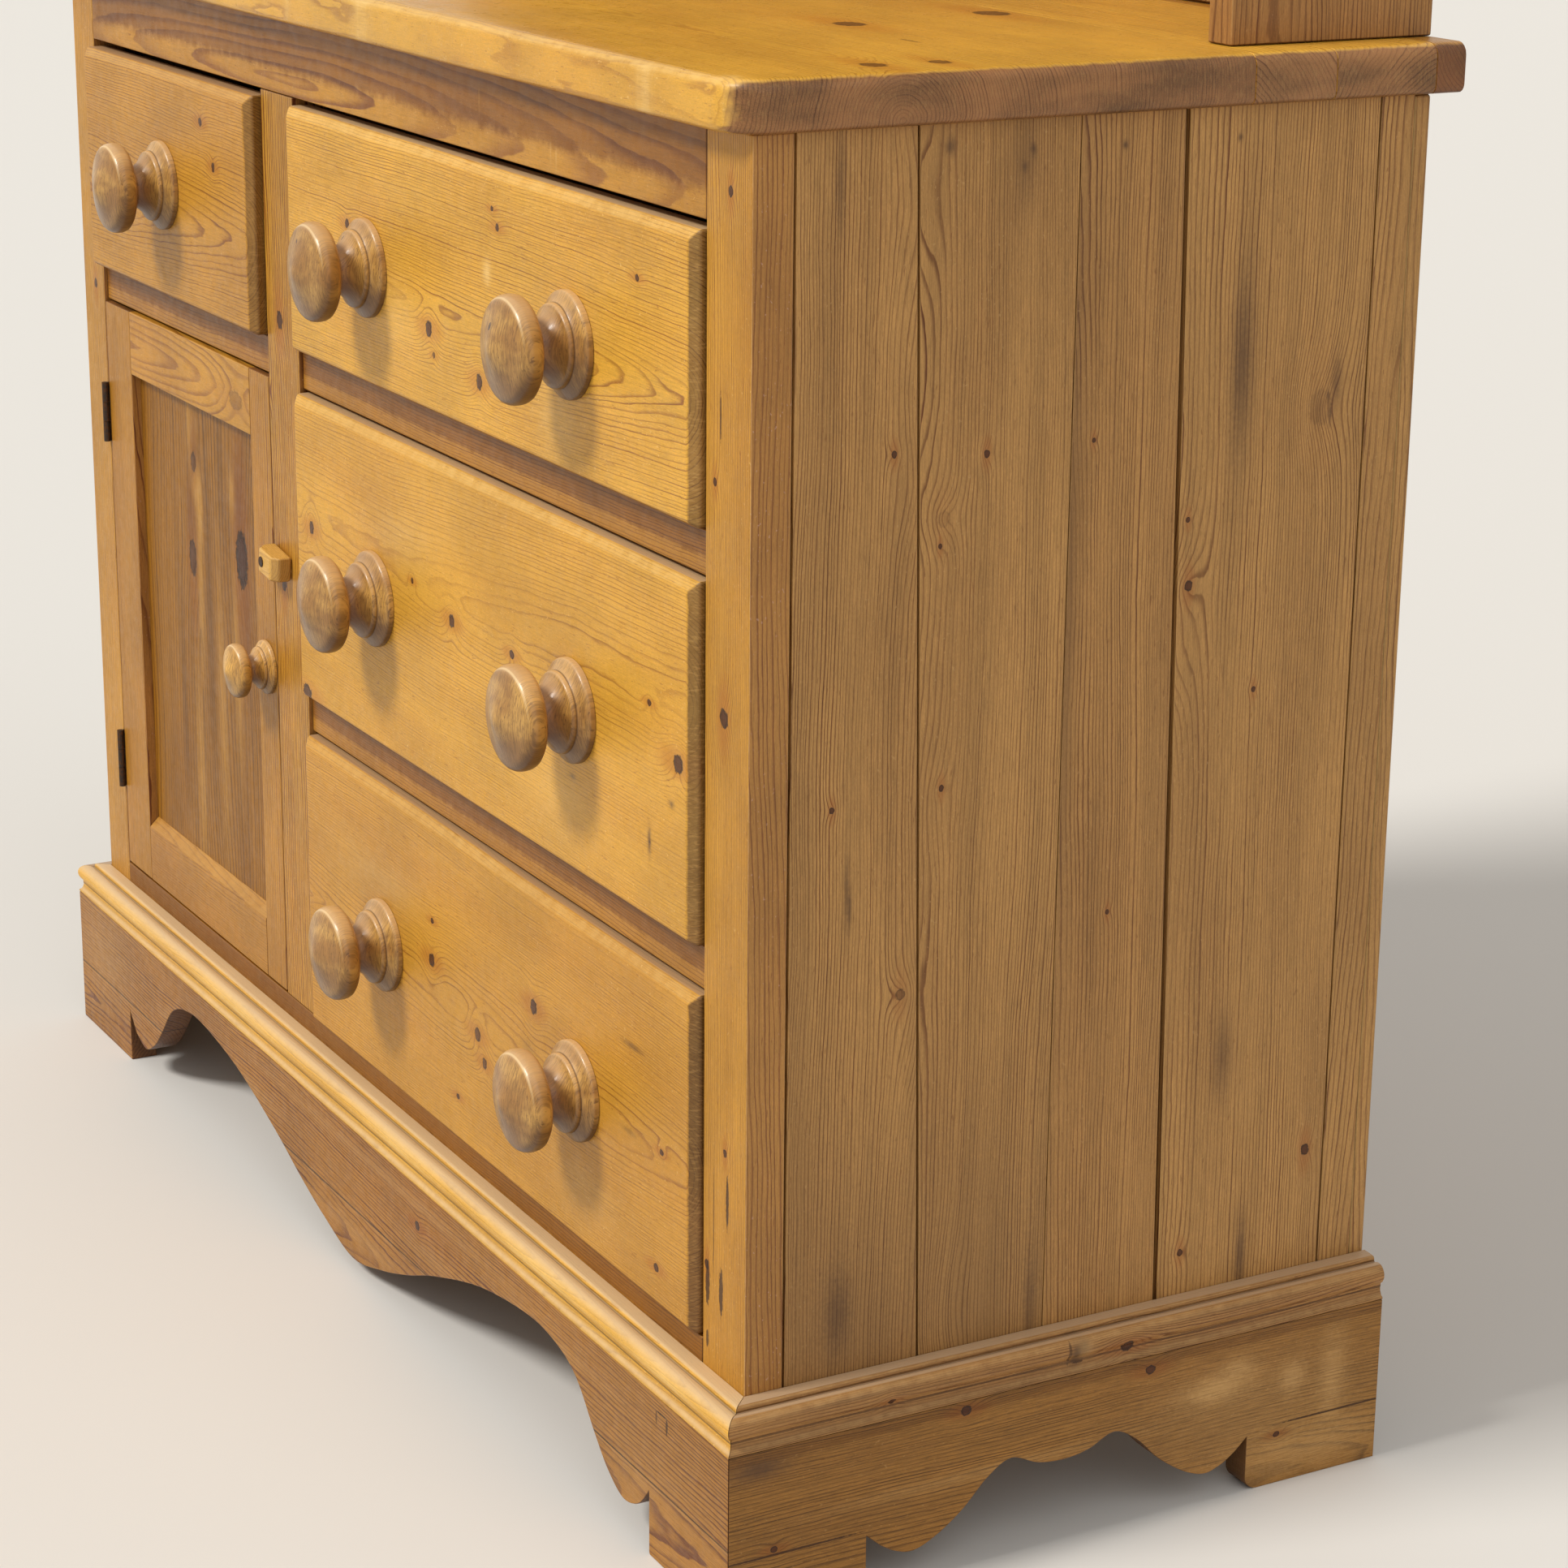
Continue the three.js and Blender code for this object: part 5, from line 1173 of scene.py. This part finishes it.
short, long = BUTTON_ENDS
button_plan = [(short, 0), (short, BUTTON_BEVEL - BUTTON_DEPTH), (short + BUTTON_BEVEL, -BUTTON_DEPTH),
               (long - BUTTON_BEVEL, -BUTTON_DEPTH), (long, BUTTON_BEVEL - BUTTON_DEPTH), (long, 0)]
spin = Matrix.Rotation(BUTTON_TILT, 3, "Y")
plan_points = [BUTTON_PIVOT + spin @ Vector((x, y, -BUTTON_HALF_HEIGHT)) for x, y in button_plan]
button = draw_outline("turn_button_block", plan_points, spin @ Vector((0, 0, 2 * BUTTON_HALF_HEIGHT)))
ease(button, BUTTON_ARRIS, steps=3)
dress(button, "button", pine("turn button pine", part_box("turn_button"), "x", "z", seed=91.0, pith=(0, -20), ring=1.6,
                             ends=0.4, shade=0.93, lights=[(0, 0, 30, 30, 0.45)]), "front_pine", "turn_button")

SCREW_RADIUS = 3.6 * MM
SCREW_DEPTH = 1.2 * MM
SCREW_ARRIS = 0.35 * MM
SCREW_PROUD = 0.2 * MM
bpy.ops.object.select_all(action="DESELECT")
screw_place = BUTTON_PIVOT + Vector((0, -BUTTON_DEPTH - SCREW_PROUD, 0))
bpy.ops.mesh.primitive_cylinder_add(vertices=32, radius=SCREW_RADIUS, depth=SCREW_DEPTH, location=screw_place,
                                    rotation=(math.pi / 2, 0, 0))
screw = bpy.context.object
screw.name = "turn_button_screw"
bpy.ops.object.transform_apply(location=True, rotation=True, scale=True)
ease(screw, SCREW_ARRIS)
print("the button turns on", tuple(round(value / MM, 1) for value in BUTTON_PIVOT))

# %% [markdown]
# ## Ironwork
# The butt hinges and the screw are plain iron, dull and brown with old wax. The shapes of the hinges in the model
# are right and small, so they only need the finish.

# %% Finish the ironwork
def iron_finish():
    material, tree = start_material("waxed iron")
    point = add(tree, "ShaderNodeTexCoord").outputs["Object"]
    rust = add(tree, "ShaderNodeTexNoise", {"Vector": point, "Scale": 420.0, "Detail": 4.0}).outputs[0]
    colour = blend(tree, ramp(tree, rust, 0.4, 0.65), paint(58, 50, 44), paint(92, 62, 40))
    rough = ramp(tree, rust, 0.35, 0.65, 0.4, 0.7, "LINEAR")
    close_material(tree, colour, rough, (rust, 0.3, 0.2 * MM), {"Metallic": 0.75})
    return material


HINGE_LEAVES = ["upper_hinge_frame_leaf", "upper_hinge_door_leaf", "lower_hinge_frame_leaf", "lower_hinge_door_leaf"]
iron = iron_finish()
dress(screw, "button", iron, "iron")
for node in HINGE_LEAVES:
    coat_with(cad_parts[node], iron)
print("hinge leaves:", len(HINGE_LEAVES))

# %% [markdown]
# ## The plate rack
# The rack stands at the back of the top: two upright sides, two shelves with a groove that keeps plates from
# sliding, a scrolled frieze, a cornice and a back of upright boards. The cornice is built like a stepped roof. It
# starts as the plan of the rack and is extruded upwards ring by ring, wider each time on three sides, with its
# back kept flat.

# %% Build the rack's boards
RACK_ARRIS = 1.3 * MM
for node, side in (("rack_side_left", -1), ("rack_side_right", 1)):
    board = start_board(node + "_board", *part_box(node))
    ease(board, RACK_ARRIS)
    dress(board, "carcass", pine(node + " pine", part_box(node), "z", "y", tone="side", seed=101.0 + side,
                                 pith=(-40, -20 * side), ring=2.4, shade=0.93, knots=[(-250, 20, 6), (180, -25, 8)]),
          "side_pine", node)

GROOVE_WIDTH = 7 * MM
GROOVE_DEPTH = 4 * MM
GROOVE_INSET = 45 * MM
for number, node in enumerate(("rack_shelf_lower", "rack_shelf_upper")):
    low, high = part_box(node)
    groove = high[1] - GROOVE_INSET
    section = [(low[1], low[2]), (high[1], low[2]), (high[1], high[2]), (groove + GROOVE_WIDTH, high[2]),
               (groove + GROOVE_WIDTH, high[2] - GROOVE_DEPTH), (groove, high[2] - GROOVE_DEPTH), (groove, high[2]),
               (low[1], high[2])]
    shelf = draw_outline(node + "_board", [(low[0], y, z) for y, z in section], (high[0] - low[0], 0, 0))
    ease(shelf, RACK_ARRIS)
    dress(shelf, "carcass", pine(node + " pine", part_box(node), "x", "y", seed=104.0 + number, pith=(-30, -24),
                                 ring=2.3, shade=0.93, knots=[(-260 + 400 * number, 0, 7)]), "front_pine", node)
print("shelves carry a groove", round(GROOVE_WIDTH / MM), "mm wide")

# %% Build the frieze, the cornice and the back
FRIEZE_SCROLL = [(0, 0.3), (0.2, 0.42), (0.42, 0.62), (0.6, 0.56), (0.75, 0.36), (0.9, 0.26)]
low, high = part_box("rack_frieze")
line = smooth_line(scroll(low[0], high[0], FRIEZE_SCROLL, high[2] - low[2], low[2]) + [(high[0], low[2])])
frieze_points = [(low[0], high[2]), (low[0], low[2])] + line + [(high[0], high[2])]
frieze = draw_outline("rack_frieze_board", [(x, low[1], z) for x, z in frieze_points], (0, high[1] - low[1], 0))
ease(frieze, RACK_ARRIS)
dress(frieze, "carcass", pine("frieze pine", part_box("rack_frieze"), "x", "z", seed=107.0, pith=(0, -30), ring=2.0,
                              shade=0.92),
      "front_pine", "rack_frieze")

CORNICE_STEPS = [(0.1, 0), (0.1, 0.12), (0.24, 0.16), (0.31, 0.22), (0.36, 0.3), (0.43, 0.4), (0.54, 0.5), (0.68, 0.6),
                 (0.8, 0.66), (0.9, 0.7), (0.9, 0.76), (1, 0.82), (1, 1)]
CORNICE_ARRIS = 0.5 * MM
low, high = (Vector(corner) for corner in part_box("rack_cornice"))
rack_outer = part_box("rack_side_right")[1][0]
projection = high.x - rack_outer
depth = high.y - low.y - projection
rise = high.z - low.z
first = CORNICE_STEPS[0][0] * projection
bpy.ops.object.select_all(action="DESELECT")
bpy.ops.mesh.primitive_plane_add(size=1, location=(0, high.y - (depth + first) / 2, low.z))
cornice = bpy.context.object
cornice.name = "rack_cornice_moulding"
cornice.scale = (2 * (rack_outer + first), depth + first, 1)
bpy.ops.object.transform_apply(location=True, rotation=True, scale=True)
bpy.ops.object.mode_set(mode="EDIT")
bpy.ops.mesh.select_all(action="SELECT")
for (out, level_share), (next_out, next_level) in zip(CORNICE_STEPS, CORNICE_STEPS[1:]):
    bpy.ops.mesh.extrude_region_move(TRANSFORM_OT_translate={"value": (0, 0, (next_level - level_share) * rise)})
    wider = (rack_outer + next_out * projection) / (rack_outer + out * projection)
    deeper = (depth + next_out * projection) / (depth + out * projection)
    bpy.ops.transform.resize(value=(wider, deeper, 1), center_override=(0, high.y, low.z + next_level * rise))
bpy.ops.mesh.select_all(action="SELECT")
bpy.ops.mesh.normals_make_consistent(inside=False)
bpy.ops.object.mode_set(mode="OBJECT")
ease(cornice, CORNICE_ARRIS, **SHARP_ONLY)
dress(cornice, "carcass", pine("cornice pine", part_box("rack_cornice"), "x", "z", seed=108.0, pith=(20, -60), ring=2.2,
                               shade=0.92),
      "front_pine", "rack_cornice")

# %% [markdown]
# ## Floor and light
# The dresser stands on a plain pale floor under soft studio light. The key light comes from high in front, so
# that each knob throws a soft shadow straight down its drawer. It is a sun with a wide disc rather than a lamp:
# its light is even over the whole floor, which then meets the pale background without a line. A weaker sun from
# the right and a pale sky keep the side and the shadows open.

# %% Lay the floor and hang the lights
FLOOR_SPAN = 80
SUNS = {
    "key": ((-0.12, -1.0, 1.15), 2.3, 14, (1.0, 0.965, 0.91)),
    "side_fill": ((1.0, -0.1, 0.8), 0.55, 60, (0.97, 0.98, 1.0)),
}
bpy.ops.object.select_all(action="DESELECT")
bpy.ops.mesh.primitive_plane_add(size=FLOOR_SPAN, location=(0, 0, 0))
floor = bpy.context.object
floor.name = "studio_floor"
floor_material = bpy.data.materials.new("pale studio floor")
floor_material.use_nodes = True
floor_shader = floor_material.node_tree.nodes["Principled BSDF"]
floor_shader.inputs["Base Color"].default_value = paint(222, 220, 216)
floor_shader.inputs["Roughness"].default_value = 0.8
floor.data.materials.append(floor_material)


def hang_sun(name, towards, strength, spread, colour):
    """A sun that shines from a direction; spread is how wide its disc looks, in degrees."""
    bpy.ops.object.select_all(action="DESELECT")
    bpy.ops.object.light_add(type="SUN", location=Vector(towards) * 3)
    lamp = bpy.context.object
    lamp.name = name
    lamp.data.energy = strength
    lamp.data.angle = math.radians(spread)
    lamp.data.color = colour
    lamp.rotation_euler = (-Vector(towards)).to_track_quat("-Z", "Y").to_euler()


for name, (towards, strength, spread, colour) in SUNS.items():
    hang_sun(name, towards, strength, spread, colour)

world = bpy.context.scene.world or bpy.data.worlds.new("studio")
bpy.context.scene.world = world
world.use_nodes = True
sky = world.node_tree
sky.nodes.clear()
rays = add(sky, "ShaderNodeLightPath").outputs
seen_by_eye = sum_of(sky, "MAXIMUM", rays["Is Camera Ray"],
                     sum_of(sky, "MAXIMUM", rays["Is Glossy Ray"], rays["Is Transmission Ray"]))
even = add(sky, "ShaderNodeBackground", {"Color": paint(240, 236, 230), "Strength": 0.55}).outputs[0]
pale = add(sky, "ShaderNodeBackground", {"Color": paint(237, 232, 223), "Strength": 1.0}).outputs[0]
mixed = add(sky, "ShaderNodeMixShader", {0: seen_by_eye, 1: even, 2: pale}).outputs[0]
add(sky, "ShaderNodeOutputWorld", {0: mixed})
print("lights hung:", len(SUNS))

# %% [markdown]
# ## Finish

# %% Finish
print("done")
